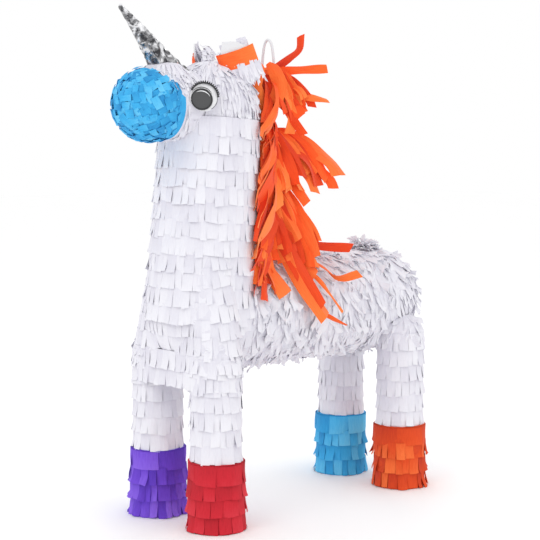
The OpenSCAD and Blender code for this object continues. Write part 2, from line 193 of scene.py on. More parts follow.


# %% [markdown]
# ## Paper, card and foil
# Real tissue is nearly plain in colour. What makes it look like paper is that no two tabs catch the light
# alike, that the roots, under the row above, lie in shade, and that fine fibres and creases run along each
# strip. So each sheet carries a tone, each point says how near the tip it is, so that shade is painted at
# the root and light at the tip, and one shared node group draws the fibres. It could be painted as an image,
# but a pattern made of noise has no size limit.

# %% Shared node groups
def new_group(name, inputs, outputs):
    """An empty shader node group with named float sockets; the input called Vector is a vector."""
    group = bpy.data.node_groups.new(name, "ShaderNodeTree")
    for label, value in inputs:
        kind = "NodeSocketVector" if label == "Vector" else "NodeSocketFloat"
        socket = group.interface.new_socket(name=label, in_out="INPUT", socket_type=kind)
        if label != "Vector":
            socket.default_value = value
    for label in outputs:
        group.interface.new_socket(name=label, in_out="OUTPUT", socket_type="NodeSocketFloat")
    return group, group.nodes.new("NodeGroupInput"), group.nodes.new("NodeGroupOutput")


def add(nodes, kind, **values):
    """A node with its settings and its sockets' values; a socket is named with spaces as underscores."""
    node = nodes.new(kind)
    for key, value in values.items():
        if hasattr(node, key):
            setattr(node, key, value)
        else:
            node.inputs[key.replace("_", " ")].default_value = value
    return node


def fibre_group():
    """Fibres: noise on coordinates squeezed along Y, so its spots become long threads, plus a little
    fine grain. Creases: the distance to the edges of stretched cells, which is low along a few lines."""
    group, given, out = new_group("paper_fibres", [("Vector", None), ("Scale", 900.0), ("Stretch", 0.12),
                                                   ("Creases", 0.5)], ["Mask", "Height"])
    nodes, link = group.nodes, group.links.new
    squeeze = add(nodes, "ShaderNodeCombineXYZ", X=1.0, Z=1.0)
    link(given.outputs["Stretch"], squeeze.inputs["Y"])
    along = add(nodes, "ShaderNodeVectorMath", operation="MULTIPLY")
    link(given.outputs["Vector"], along.inputs[0])
    link(squeeze.outputs[0], along.inputs[1])
    thread = add(nodes, "ShaderNodeTexNoise", Detail=3.0, Roughness=0.6)
    link(along.outputs[0], thread.inputs["Vector"])
    link(given.outputs["Scale"], thread.inputs["Scale"])
    grain = add(nodes, "ShaderNodeTexNoise", Scale=2600.0, Detail=2.0)
    link(given.outputs["Vector"], grain.inputs["Vector"])
    cell_scale = add(nodes, "ShaderNodeMath", operation="MULTIPLY")
    cell_scale.inputs[1].default_value = 0.28
    link(given.outputs["Scale"], cell_scale.inputs[0])
    cells = add(nodes, "ShaderNodeTexVoronoi", feature="DISTANCE_TO_EDGE")
    link(along.outputs[0], cells.inputs["Vector"])
    link(cell_scale.outputs[0], cells.inputs["Scale"])
    crease = add(nodes, "ShaderNodeMath", operation="MULTIPLY")
    link(cells.outputs["Distance"], crease.inputs[0])
    link(given.outputs["Creases"], crease.inputs[1])
    mask = add(nodes, "ShaderNodeMath", operation="MULTIPLY_ADD")
    mask.inputs[1].default_value = 0.3
    link(grain.outputs["Fac"], mask.inputs[0])
    link(thread.outputs["Fac"], mask.inputs[2])
    height = add(nodes, "ShaderNodeMath", operation="ADD")
    link(mask.outputs[0], height.inputs[0])
    link(crease.outputs[0], height.inputs[1])
    link(mask.outputs[0], out.inputs["Mask"])
    link(height.outputs[0], out.inputs["Height"])
    return group


FIBRES = fibre_group()
print("node group:", FIBRES.name)


# %% A material from the fibre group
def paper(name, colours, scale=900.0, stretch=0.12, creases=0.5, rough=0.85, bump=0.25, coords="UV",
          sheen=0.0, by_tone=0.75):
    """Fibrous material. Its colour runs from the first to the last of colours with the sheet's tone, the
    nearness of the tip, which paints shade at the root and light at the tip, and the fibre mask, and the
    fibres and creases also raise the surface."""
    material = bpy.data.materials.new(name)
    material.use_nodes = True
    nodes, link = material.node_tree.nodes, material.node_tree.links.new
    shader = nodes["Principled BSDF"]
    shader.inputs["Roughness"].default_value = rough
    shader.inputs["Sheen Weight"].default_value = sheen
    place = add(nodes, "ShaderNodeTexCoord")
    fibres = add(nodes, "ShaderNodeGroup", node_tree=FIBRES, Scale=scale, Stretch=stretch, Creases=creases)
    link(place.outputs[coords], fibres.inputs["Vector"])
    tone = add(nodes, "ShaderNodeAttribute", attribute_name="tone")
    tip = add(nodes, "ShaderNodeAttribute", attribute_name="tip")
    shade = add(nodes, "ShaderNodeMath", operation="MULTIPLY_ADD")
    shade.inputs[1].default_value = by_tone
    link(tone.outputs["Fac"], shade.inputs[0])
    # Painted shade and light: darker at the root of a tab, under the row above, lighter towards its tip.
    root_shade_and_fibres = add(nodes, "ShaderNodeMath", operation="MULTIPLY_ADD")
    root_shade_and_fibres.inputs[1].default_value = 0.25
    link(tip.outputs["Fac"], root_shade_and_fibres.inputs[0])
    link(root_shade_and_fibres.outputs[0], shade.inputs[2])
    fibre_part = add(nodes, "ShaderNodeMath", operation="MULTIPLY_ADD")
    fibre_part.inputs[1].default_value = 0.5
    fibre_part.inputs[2].default_value = -0.32
    link(fibres.outputs["Mask"], fibre_part.inputs[0])
    link(fibre_part.outputs[0], root_shade_and_fibres.inputs[2])
    ramp = add(nodes, "ShaderNodeValToRGB")
    steps = ramp.color_ramp.elements
    for _ in colours[2:]:
        steps.new(0.5)
    for step, (i, colour) in zip(list(steps), enumerate(colours)):
        step.position = i / (len(colours) - 1)
        step.color = (*colour, 1.0)
    link(shade.outputs[0], ramp.inputs["Fac"])
    link(ramp.outputs["Color"], shader.inputs["Base Color"])
    relief = add(nodes, "ShaderNodeBump", Strength=bump, Distance=0.3 * MM)
    link(fibres.outputs["Height"], relief.inputs["Height"])
    link(relief.outputs["Normal"], shader.inputs["Normal"])
    return material


# %% The tissue papers, from their darker colour, painted shade at the roots, to their lighter colour at the tips
def rgb(code):
    """Linear colour from the usual six hexadecimal digits, by the power law of a screen."""
    parts = np.array([int(code[i:i + 2], 16) for i in (0, 2, 4)]) / 255
    linear = np.where(parts < 0.04045, parts / 12.92, ((parts + 0.055) / 1.055) ** 2.4)
    return tuple(float(x) for x in linear)


# Each list runs from dark to light. Where a point falls on it depends on its tab's random tone, its fibres,
# and the painted shade at the root and painted light at the tip.
WHITE = paper("white_tissue", [rgb("D9D7E2"), rgb("E9E8EF"), rgb("F2F2F5")], bump=0.35, sheen=0.1,
              by_tone=0.4)
RED = paper("red_tissue", [rgb("A80A1E"), rgb("CC1A2C"), rgb("E03A48")], bump=0.4)
PURPLE = paper("purple_tissue", [rgb("4A24A8"), rgb("6B40CC"), rgb("9068E8")], bump=0.4)
ORANGE_RED = paper("orange_red_tissue", [rgb("BE2E08"), rgb("E24A12"), rgb("F87434")], bump=0.4)
BLUE = paper("sky_blue_tissue", [rgb("1F88C8"), rgb("38AEE8"), rgb("6CCBF4")], bump=0.4)
CREPE = paper("orange_crepe", [rgb("D02402"), rgb("F95208"), rgb("FF8A3E")], scale=1500.0, stretch=0.06,
              creases=0.25, bump=0.4, sheen=0.15)
print("tissues:", [m.name for m in (WHITE, RED, PURPLE, ORANGE_RED, BLUE, CREPE)])


# %% [markdown]
# ## The hanging loop
# A white cotton cord of three strands stands up behind the ears. It could be a curve with a round bevel,
# but the twist of the strands is what the eye sees, so the tube's section is a clover that turns as it
# goes. Its two ends go back into the mane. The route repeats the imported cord's own points.

# %% Smooth lines through chosen points
def smooth_line(points, count):
    """Catmull-Rom line through the points, resampled at count places an equal distance apart: on each
    stretch the position is a cubic whose slope at a point is half the step between its neighbours."""
    p = np.asarray(points, float)
    p = np.concatenate([[2 * p[0] - p[1]], p, [2 * p[-1] - p[-2]]])
    t = np.linspace(0, 1, 24, endpoint=False)[:, None]
    a, b, c, d = (p[i:len(p) - 3 + i, None] for i in range(4))
    line = 0.5 * (2 * b + (c - a) * t + (2 * a - 5 * b + 4 * c - d) * t**2 + (3 * b - a - 3 * c + d) * t**3)
    line = np.concatenate([line.reshape(-1, 3), p[-2:-1]])
    far = np.concatenate([[0], np.cumsum(np.linalg.norm(np.diff(line, axis=0), axis=1))])
    places = np.linspace(0, far[-1], count)
    return np.stack([np.interp(places, far, line[:, i]) for i in range(3)], 1)


def tube(line, radius, side_hint):
    """A closed tube along a line. radius is an array (places, sides); the section lies in the plane of
    two vectors square to the line, of which the first is square to side_hint as well."""
    count, sides = radius.shape
    ahead = unit(np.gradient(line, axis=0))
    u = unit(np.cross(side_hint, ahead))
    v = np.cross(ahead, u)
    a = np.linspace(0, 2 * np.pi, sides, endpoint=False)
    ring = np.cos(a)[None, :, None] * u[:, None] + np.sin(a)[None, :, None] * v[:, None]
    points = (line[:, None] + radius[..., None] * ring).reshape(-1, 3)
    k = np.arange(count * sides).reshape(count, sides)
    nxt = np.roll(k, -1, axis=1)
    quads = np.stack([k[:-1], nxt[:-1], nxt[1:], k[1:]], -1).reshape(-1, 4)
    ends = np.array([line[0], line[-1]])
    first, last = len(points), len(points) + 1
    fans = np.concatenate([np.stack([nxt[0], k[0], np.full(sides, first)], 1),
                           np.stack([k[-1], nxt[-1], np.full(sides, last)], 1)])
    return plain(np.concatenate([points, ends]), [quads, fans])


# %% The cord
CORD_D = 3.0
LOOP_AT = np.array([11.0, -18.0, 464.5])
LOOP_ROUTE = np.array([[-8.5, 0, 0.5], [-8.5, 0, 5], [-7.8, 0, 10], [-7, 0, 15], [-5.8, 0, 20],
                       [-3.6, 0, 24.5], [0, 0, 26.5], [3.6, 0, 24.5],
                       [5.8, 0, 20], [7, 0, 15], [7.8, 0, 10], [8.5, 0, 5], [8.5, 0, 0.5]])
STRANDS, TURNS = 3, 7.0

loop_line = smooth_line(LOOP_ROUTE + LOOP_AT, 90)
around = np.linspace(0, 2 * np.pi, 18, endpoint=False)
turning = np.linspace(0, 2 * np.pi * TURNS, len(loop_line))[:, None]
clover = 0.45 * CORD_D * (1 + 0.13 * np.abs(np.cos(STRANDS / 2 * (around + turning))))
COTTON = paper("white_cotton", [rgb("D6D6DA"), rgb("F4F4F6")], scale=2500.0, stretch=0.4, creases=0.2,
               coords="Object", sheen=0.3)
three_strands = tube(loop_line, clover, np.array([0.0, 1.0, 0.0]))
loop_cord = finish_piece("loop_cord", three_strands, COTTON, body="hanging_loop",
                         stands_for=["hanging_cord"])


# %% [markdown]
# ## The cardboard forms
# Body, neck, head, muzzle, forehead and legs are all one kind of shape: a line with a radius that may
# change along it, and round ends. Each tab needs a place on such a form and has to stay out of the others.
# One function that says how far a point is from a form does both jobs.

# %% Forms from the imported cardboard
def box_mm(node):
    """A CAD node's lowest and highest corner in millimetres."""
    low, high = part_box(node)
    return np.array(low) / MM, np.array(high) / MM


def form(start, end, r0, r1=None):
    """A round form: the line from start to end, with a radius that runs from r0 to r1."""
    return np.array(start, float), np.array(end, float), r0, r0 if r1 is None else r1


tube_low, tube_high = box_mm("torso_tube")
BODY_R = tube_high[0]
CHEST_Y, RUMP_Y = tube_low[1], tube_high[1]
BODY_Z = (tube_low[2] + tube_high[2]) / 2
_, head_high = box_mm("head_shell")
HEAD_R = head_high[0]
HEAD_AT = (0, head_high[1] - HEAD_R, head_high[2] - HEAD_R)
muzzle_low, muzzle_high = box_mm("muzzle_shell")
MUZZLE_R = muzzle_high[0]
MUZZLE_AT = (0, muzzle_low[1] + MUZZLE_R, muzzle_low[2] + MUZZLE_R)
# The forehead, the neck and the tops of the legs are no node's box, so their packed sizes are repeated.
FOREHEAD_AT, FOREHEAD_R = (0, -148, 440), 26.0
NECK_FOOT, NECK_TOP = np.array([0, -102.0, 209.0]), np.array([0, -88.0, 415.0])
NECK_R0, NECK_R1 = 52.5, 47.0
LEG_TOP_Z = 170.0

BODY = form((0, CHEST_Y, BODY_Z), (0, RUMP_Y, BODY_Z), BODY_R)
NECK = form(NECK_FOOT, NECK_TOP, NECK_R0, NECK_R1)
HEAD = form(HEAD_AT, HEAD_AT, HEAD_R)
MUZZLE = form(MUZZLE_AT, (0, HEAD_AT[1], MUZZLE_AT[2]), MUZZLE_R)
FOREHEAD = form(FOREHEAD_AT, FOREHEAD_AT, FOREHEAD_R)
LEG_NAMES = ("front_left", "front_right", "rear_left", "rear_right")
LEGS = {}
for leg in LEG_NAMES:
    low, high = box_mm("foot_disc_" + leg)
    axis_xy = (low + high)[:2] / 2
    LEGS[leg] = form((*axis_xy, 0), (*axis_xy, LEG_TOP_Z), (high - low)[0] / 2)
print("body radius", round(BODY_R, 2), "head", np.round(HEAD_AT, 1), "muzzle", np.round(MUZZLE_AT, 1))


# %% How far a point is from a form
def off_form(points, shape):
    """Distance of points outside a form, and the unit directions away from it: each point is compared
    with the nearest place on the form's line, and the radius there is taken from the distance."""
    start, end, r0, r1 = shape
    axis = end - start
    t = np.clip((points - start) @ axis / max(axis @ axis, 1e-9), 0, 1)[..., None]
    away = points - start - t * axis
    far = np.linalg.norm(away, axis=-1)
    return far - r0 - (r1 - r0) * t[..., 0], away / np.maximum(far, 1e-9)[..., None]


def keep_off(points, shapes, room):
    """Moves points that are nearer than room to any of the forms straight out until they have it."""
    for _ in range(2):
        for shape in shapes:
            gap, away = off_form(points, shape)
            points = points + np.maximum(room - gap, 0)[..., None] * away
    return points


def clear_of(rows, shapes, room=0.0, at=0.0):
    """True for the tabs whose roots, or the points that far down from them, lie outside all the forms by
    more than room. Testing the tips keeps the tabs that hang out from under another form."""
    points = rows["root"] + at * rows["down"]
    return np.all([off_form(points, s)[0] > room for s in shapes], axis=0)


# %% [markdown]
# ## Rows of cut tissue
# A row is a strip of paper glued along its upper edge and cut into tabs with scissors, so neighbouring tabs
# touch at the root and their widths vary. On a leg or the neck a row is a plain ring. On the body it is
# a ring too, but seen from above it is a stadium: two straight runs joined by two half circles.

# %% Cutting a row
STRAIGHT = 1e5                               # the bending radius of what isn't bent


def cut_row(rng, total, widths):
    """Middles and widths of the tabs of a row: random widths in the given range, scaled to fill the row."""
    count = max(3, int(round(total / (0.5 * sum(widths)))))
    width = spread(rng, widths, count)
    width *= total / width.sum()
    return np.cumsum(width) - width / 2, width


def round_stadium(s, run, rim):
    """Round a stadium by arc length s: out along one straight run, half a circle of radius rim, back along
    the other, half a circle. Gives the angle turned through and the place along the run."""
    turn = np.clip((s - run) / rim, 0, np.pi) + np.clip((s - 2 * run) / rim - np.pi, 0, np.pi)
    return turn, np.clip(s, 0, run) - np.clip(s - run - np.pi * rim, 0, run)


def ring_rows(rng, shape, angles, widths, glue=1.6):
    """Tabs on a level form in rings. At p degrees from the top, a ring is a stadium whose half circles
    have the radius r sin p. Going round it by arc length, the heading f turns by half a circle at each end,
    the outward direction is (cos f sin p, sin f sin p, cos p), and down is that with p a quarter on."""
    start, end, r, _ = shape
    run = end[1] - start[1]
    rows = []
    for p in np.radians(angles):
        rim = (r + glue) * np.sin(p)
        total = 2 * run + 2 * np.pi * rim
        s, width = cut_row(rng, total, widths)
        s = (s + rng.uniform(0, total)) % total
        f, way = round_stadium(s, run, rim)
        y = start[1] + way
        head = np.stack([np.cos(f), np.sin(f), np.zeros_like(f)], 1)
        up = np.array([0, 0, 1.0])
        out = head * np.sin(p) + up * np.cos(p)
        middle = np.stack([np.full_like(y, start[0]), y, np.full_like(y, start[2])], 1)
        on_end = (y <= start[1]) | (y >= end[1])
        rows.append({"root": middle + (r + glue) * out, "out": out,
                     "down": head * np.cos(p) - up * np.sin(p), "width": width,
                     "across": np.where(on_end, r, STRAIGHT), "along": np.full_like(s, r)})
    return {k: np.concatenate([row[k] for row in rows]) for k in rows[0]}


def tube_rows(rng, shape, places, widths, glue=1.6):
    """Tabs on a tube or cone in rings square to its axis; places are distances of the roots up the axis."""
    start, end, r0, r1 = shape
    axis = unit(end - start)
    side = unit(np.cross(axis, np.array([0, 1.0, 0])))
    front = np.cross(axis, side)
    rows = []
    for place in places:
        r = r0 + (r1 - r0) * place / np.linalg.norm(end - start) + glue
        s, width = cut_row(rng, 2 * np.pi * r, widths)
        f = (s / r + rng.uniform(0, 2 * np.pi))[:, None]
        out = np.cos(f) * side + np.sin(f) * front
        rows.append({"root": start + place * axis + r * out, "out": out,
                     "down": np.broadcast_to(-axis, out.shape), "width": width,
                     "across": np.full_like(s, r), "along": np.full_like(s, STRAIGHT)})
    return {k: np.concatenate([row[k] for row in rows]) for k in rows[0]}


def only(rows, mask):
    """The tabs for which mask is true."""
    return {k: v[mask] for k, v in rows.items()}


# %% [markdown]
# ## Bending the tabs
# A flat tab would look like a shingle. A tissue tab follows the curve under it, lifts off towards its tip,
# curls, twists a little, leans to one side and has a fold down its middle. Each of these is one term, and
# each tab draws its own amounts.

# %% From rows to bent sheets
SHEET_T = 0.35                               # thickness of a tab, back to front


def tabs(rng, rows, length, lift=(0.05, 0.2), curl=(0.0, 0.12), twist=(-0.3, 0.3), fold=(-0.15, 0.15),
         lean=(-0.08, 0.08), slant=(-0.15, 0.15), taper=(0.0, 0.15), fill=(0.88, 1.0), tone=(0, 1), wave=0.5,
         nu=3, nv=6):
    """Closed sheets for the rows. With u from -1 to 1 across and v from 0 to 1 along, a point goes a
    distance x = u w/2 (1 - taper v) fill sideways and t = v L (1 + slant u) down, both bent round the
    form's radii. It then stands out by lift L v^2 + curl L v^4 + twist u v w/2 + fold w (1 - |u|) + a small
    wave, and leans sideways by lean L v^2."""
    n = len(rows["root"])
    u = np.linspace(-1, 1, nu)[None, None, :]
    v = np.linspace(0, 1, nv)[None, :, None]

    def draw(pair):
        return spread(rng, pair, n)[:, None, None]

    w, ra, rl = (rows[k][:, None, None] for k in ("width", "across", "along"))
    size = draw(length) * rows.get("share", np.ones(n))[:, None, None]
    x = u * w / 2 * (1 - draw(taper) * v) * draw(fill)
    t = v * size * (1 + draw(slant) * u)
    phase = draw((0, 6.28))
    rise = draw(lift) * size * v**2 + draw(curl) * size * v**4 + draw(twist) * u * v * w / 2
    rise = rise + draw(fold) * w * (1 - np.abs(u)) * (0.4 + 0.6 * v) + wave * v * np.sin(5 * v + phase)
    rise = rise - ra * (1 - np.cos(x / ra)) - rl * (1 - np.cos(t / rl))
    x = ra * np.sin(x / ra) + draw(lean) * size * v**2
    t = rl * np.sin(t / rl)
    side = unit(np.cross(rows["down"], rows["out"]))
    root, down, out, side = (a[:, None, None, :] for a in (rows["root"], rows["down"], rows["out"], side))
    front = root + side * x[..., None] + down * t[..., None] + out * rise[..., None]
    shift = rng.uniform(0, 900, (n, 2))[:, :, None, None]
    across = np.broadcast_to(u * w / 2, front.shape[:3]) + shift[:, 0]
    along = np.broadcast_to(v * size, front.shape[:3]) + shift[:, 1]
    return sheets(front, SHEET_T, spread(rng, tone, n), across, along)


# %% The backing that the rows are glued to
def backing(node, shapes, depth=1.4):
    """The node's closed CAD skin with its doubles merged and its outer wall drawn in until it lies depth
    outside the nearest of the forms under it, so that no cardboard shows between two tabs."""
    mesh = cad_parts[node].data.copy()
    edit = bmesh.new()
    edit.from_mesh(mesh)
    bmesh.ops.remove_doubles(edit, verts=edit.verts, dist=1e-6)
    edit.to_mesh(mesh)
    edit.free()
    points, corners = np.empty(len(mesh.vertices) * 3), np.empty(len(mesh.loops), int)
    mesh.vertices.foreach_get("co", points)
    mesh.loops.foreach_get("vertex_index", corners)
    bpy.data.meshes.remove(mesh)
    points = points.reshape(-1, 3) / MM
    gaps, ways = zip(*(off_form(points, s) for s in shapes))
    nearest = np.argmin(gaps, axis=0)
    pick = np.arange(len(points))
    gap, way = np.array(gaps)[nearest, pick], np.array(ways)[nearest, pick]
    points = points - np.maximum(gap - depth, 0)[:, None] * way
    return plain(points, [corners.reshape(-1, 3)])


# %% [markdown]
# ## Feet and legs
# Each foot has its own colour and four rows; the topmost is hardly cut and reads as a band, and how
# crumpled the others are differs from foot to foot. The rows are set out from the top of the coloured
# part, one row apart, so that the lowest tips just reach the floor. The white rows go on above them.

# %% Coloured feet
FLAT = {"lift": (0.04, 0.13), "curl": (-0.06, 0.05), "twist": (-0.2, 0.2), "fold": (-0.08, 0.1),
        "lean": (-0.04, 0.04), "slant": (-0.04, 0.04), "taper": (-0.03, 0.05), "wave": 0.4,
        "fill": (0.97, 1.05), "nu": 4}
ROW, TIP = 17.0, 16.0                        # distance between rows, and where a tab's tip is tested
FOOT_H = box_mm("fringe_foot_front_left")[1][2]
BROAD = (5, 12)                              # widths of the tabs on legs, neck and chest
LONG = (18, 20)                              # and their lengths, a little more than a row
FOOT_ROWS, LEG_ROWS, NECK_ROWS, PAD_ROWS = 4, 6, 13, 8
FOOT_PAPERS = {"front_left": (RED, "tissue_red", 0.3, (9, 19)),
               "front_right": (PURPLE, "tissue_purple", 1.0, BROAD),
               "rear_left": (ORANGE_RED, "tissue_orange_red", 0.7, (6, 14)),
               "rear_right": (BLUE, "tissue_blue", 0.5, (7, 15))}


def puckered(p):
    """How tabs bend that were pushed together by hand: p is 0 for smooth paper and 1 for well crumpled."""
    return {**FLAT, "lift": (0.02, 0.1 + 0.1 * p), "curl": (0, 0.12 * p), "twist": (-0.4 * p, 0.4 * p),
            "fold": (-0.2 * p, 0.3 * p), "fill": (0.94, 1.02), "wave": 0.3 + 0.7 * p}


for seed, leg in enumerate(LEG_NAMES):
    rng = np.random.default_rng(10 + seed)
    tissue, slot, pucker, widths = FOOT_PAPERS[leg]
    places = FOOT_H - 1.0 - ROW * np.arange(FOOT_ROWS)
    upper = tube_rows(rng, LEGS[leg], places[:1], (22, 40), glue=6.6)
    lower = tube_rows(rng, LEGS[leg], places[1:], widths, glue=6.0)
    foot = [backing("fringe_foot_" + leg, [LEGS[leg]], 5.4),
            tabs(rng, upper, (18.5, 20), **{**FLAT, "lift": (0.0, 0.04), "nu": 7, "fill": (1.0, 1.05)}),
            tabs(rng, lower, (16.6, 17.6), **puckered(pucker))]
    finish_piece("foot_tissue_" + leg, gather(foot), tissue, stands_for=["fringe_foot_" + leg])

# %% White legs
DOME_TABS = {"front": {"lift": (0.0, 0.15), "fold": (-0.2, 0.2)},
             "rear": {"lift": (0.05, 0.45), "curl": (-0.3, 0.1), "lean": (-0.5, 0.5), "twist": (-0.7, 0.7)}}
for seed, leg in enumerate(LEG_NAMES):
    rng = np.random.default_rng(20 + seed)
    rows = tube_rows(rng, LEGS[leg], FOOT_H + 19 + ROW * np.arange(LEG_ROWS), BROAD, glue=2.6)
    rows = only(rows, clear_of(rows, [BODY], 1.0, at=TIP))
    dome = ring_rows(rng, form(LEGS[leg][1], LEGS[leg][1], LEGS[leg][2]), (30, 55, 80), (5, 10), glue=2.4)
    dome = only(dome, clear_of(dome, [BODY], 1.0, at=10))
    white = [backing("fringe_leg_" + leg, [LEGS[leg]], 2.2), tabs(rng, rows, LONG, **FLAT),
             tabs(rng, dome, (14, 20), **DOME_TABS[leg.split("_")[0]])]
    finish_piece("leg_tissue_" + leg, gather(white), WHITE, stands_for=["fringe_leg_" + leg])


# %% [markdown]
# ## The body
# The chest has the same broad tabs as the legs. From behind the front legs to the rump the tissue was cut
# finer and has been ruffled, so the tabs are narrow and lift, lean and twist far more. The tabs that are
# rooted on the filling flap go with the flap, and the last tabs above its hinge are cut short so that they
# don't hang in its way, so both are sorted out before anything is built.

# %% Rows on the body
FLAP_Y = (-20.0, 70.0)
FLAP_P = (40.0, 95.0)                        # the flap, in degrees from the top of the right flank
CHEST_END = -78.0                            # broad tabs in front of this, fine ones behind
NARROW = (3.6, 7)                            # widths of the fine ones
leg_forms = list(LEGS.values())

rng = np.random.default_rng(31)
broad = ring_rows(rng, BODY, np.arange(20, 168, 16.5), BROAD)
broad = only(broad, (broad["root"][:, 1] < CHEST_END) & clear_of(broad, [NECK, *leg_forms], 0.5, at=TIP))
fine = ring_rows(rng, BODY, np.arange(1.5, 170, 11), NARROW)
fine = only(fine, (fine["root"][:, 1] >= CHEST_END) & clear_of(fine, [NECK, *leg_forms], 0.5, at=12))


def from_top(rows):
    """Degrees between each tab's root and the top of the body, seen along the body."""
    return np.degrees(np.arctan2(np.abs(rows["root"][:, 0]), rows["root"][:, 2] - BODY_Z))


def on_right(rows, y_range, p_range):
    """True for tabs rooted on the right flank between two places along it and two angles from the top."""
    x, y, _ = rows["root"].T
    p = from_top(rows)
    return (x < 0) & (y > y_range[0]) & (y < y_range[1]) & (p > p_range[0]) & (p < p_range[1])


def ruffled(rng, rows, length=(15, 21), **more):
    """Narrow tabs that have been ruffled by hand."""
    amounts = {"lift": (0.0, 0.3), "curl": (-0.25, 0.2), "twist": (-0.7, 0.7), "fold": (-0.3, 0.35),
               "lean": (-0.6, 0.6), "slant": (-0.2, 0.2), "taper": (-0.2, 0.35), "wave": 1.2,
               "tone": (0.35, 1)}
    return tabs(rng, rows, length, **{**amounts, **more})


at_hinge = ring_rows(rng, BODY, (FLAP_P[0] + 1.2,), NARROW)
at_hinge = only(at_hinge, on_right(at_hinge, FLAP_Y, FLAP_P))
on_flap = on_right(fine, FLAP_Y, FLAP_P)
flap_rows = only(fine, on_flap)
flap_rows = {k: np.concatenate([flap_rows[k], at_hinge[k]]) for k in flap_rows}
fine = only(fine, ~on_flap)
near_flap = (FLAP_Y[0] - 4, FLAP_Y[1] + 4)
over_flap = (22, FLAP_P[0])                  # of these rows only the first is kept, and cut short
short = only(fine, on_right(fine, near_flap, (22, 30)))
fine = only(fine, ~on_right(fine, near_flap, over_flap))
print("tabs: chest", len(broad["root"]), "body", len(fine["root"]), "flap", len(flap_rows["root"]))

# %% Body, chest and rump pieces
rng = np.random.default_rng(32)
on_tube = fine["root"][:, 1] <= RUMP_Y
torso = [backing("fringe_torso", [BODY]), ruffled(rng, only(fine, on_tube)),
         ruffled(rng, short, length=(12.5, 15.5), lean=(-0.1, 0.1))]
finish_piece("body_tissue", gather(torso), WHITE, stands_for=["fringe_torso"])
chest = [backing("fringe_chest", [BODY]), tabs(rng, broad, LONG, **FLAT)]
finish_piece("chest_tissue", gather(chest), WHITE, stands_for=["fringe_chest"])
rump = [backing("fringe_rump", [BODY]), ruffled(rng, only(fine, ~on_tube))]
finish_piece("rump_tissue", gather(rump), WHITE, stands_for=["fringe_rump"])
flap = [backing("fringe_flap", [BODY]), ruffled(rng, flap_rows, lean=(-0.15, 0.15))]
finish_piece("flap_tissue", gather(flap), WHITE, body="fill_flap",
             stands_for=["fringe_flap"])


# %% [markdown]
# Between the chest and the two front legs the figure is padded out with crumpled paper, and the rows run
# straight across. Seen from above such a row is a stadium again, this time lying across the animal, and it
# gets shorter towards the neck.

# %% Rows across the chest pad
LEG_X, FRONT_Y = LEGS["front_left"][1][:2]
PAD_LOW, PAD_HIGH = np.array([LEG_X, FRONT_Y, 170.0]), np.array([24.0, -113.0, 282.0])
PAD_R = 25.6


def pad_rows(rng, heights, widths):
    """Tabs in stadiums that lie along X: half their straight run and their place along the body go in a
    straight line from the legs' tops to the pad's upper corners. At a heading f, which starts at the front,
    the outward direction is (sin f, -cos f, 0)."""
    rows = []
    for z in heights:
        share = np.clip((z - PAD_LOW[2]) / (PAD_HIGH[2] - PAD_LOW[2]), 0, 1)
        half, y_mid, _ = PAD_LOW + (PAD_HIGH - PAD_LOW) * share
        s, width = cut_row(rng, 4 * half + 2 * np.pi * PAD_R, widths)
        f, way = round_stadium(s, 2 * half, PAD_R)
        x = way - half
        out = np.stack([np.sin(f), -np.cos(f), np.zeros_like(f)], 1)
        down = unit(np.stack([0.2 * np.sin(f) * (z > PAD_LOW[2]), np.zeros_like(f), -np.ones_like(f)], 1))
        rows.append({"root": np.stack([x, y_mid + 0 * x, z + 0 * x], 1) + PAD_R * out, "out": out,
                     "down": down, "width": width, "across": np.where(np.abs(x) >= half, PAD_R, STRAIGHT),
                     "along": np.full_like(s, STRAIGHT)})
    return {k: np.concatenate([row[k] for row in rows]) for k in rows[0]}


rng = np.random.default_rng(33)
rows = pad_rows(rng, 161 + ROW * np.arange(PAD_ROWS), BROAD)
rows = only(rows, clear_of(rows, [NECK, BODY], 2.0, at=TIP))
pad_forms = [form(start, end, PAD_R - 2)
             for start, end in ((PAD_LOW * MIRROR, PAD_LOW), (PAD_LOW * MIRROR, PAD_HIGH * MIRROR),
                                (PAD_LOW, PAD_HIGH))]
pad = [backing("chest_pad", [*pad_forms, NECK, BODY], 1.0), tabs(rng, rows, LONG, **FLAT)]
finish_piece("chest_pad_tissue", gather(pad), WHITE, stands_for=["chest_pad"])


# %% [markdown]
# ## Neck and head
# The neck carries the same broad rows as the chest. The head is a ball covered with strips only three to
# five millimetres wide. Eyes, horn and ears stand in the fringe, and on the real head the paper is trimmed
# round them, so a tab that would run under one of them is cut short where it meets it.

# %% Trimming tabs round what stands in the fringe
def trim(rows, length, shapes, least=0.22):
    """Adds to each tab the share of its length that it keeps: twelve points down its middle line are
    tested, and it ends at the first that lies in one of the forms. Tabs that would keep less than least
    are dropped."""
    steps = np.linspace(0, 1, 12)
    line = rows["root"][:, None] + rows["down"][:, None] * (steps * length)[None, :, None]
    inside = np.any([off_form(line, s)[0] < 0 for s in shapes], axis=0)
    share = np.where(inside.any(axis=1), steps[np.argmax(inside, axis=1)], 1.0)
    return only({**rows, "share": share}, share >= least)


EYE_AT, EYE_OUT = np.array([39, -130.3, 430]), np.array([0.861, -0.478, 0.174])
EYE_R, EYE_ROOM = 14.0, 3.0                  # the card's radius and the room that the fringe leaves it
HORN_TIP = np.array([0, -202, 518.3])
HORN_DOWN = np.array([0, 0.688, -0.725])
HORN_LEN, HORN_R0, HORN_R1 = 125.0, 1.5, 18.5
eye_forms = [form((EYE_AT - 12 * EYE_OUT) * m, (EYE_AT + 12 * EYE_OUT) * m, EYE_R + EYE_ROOM)
             for m in (1, MIRROR)]
HORN_ROOM = (3.0, 4.0)                       # the fringe leaves the horn this much, at its tip and foot
horn_form = form(HORN_TIP, HORN_TIP + HORN_LEN * HORN_DOWN, HORN_R0 + HORN_ROOM[0], HORN_R1 + HORN_ROOM[1])
things = [*eye_forms, horn_form]

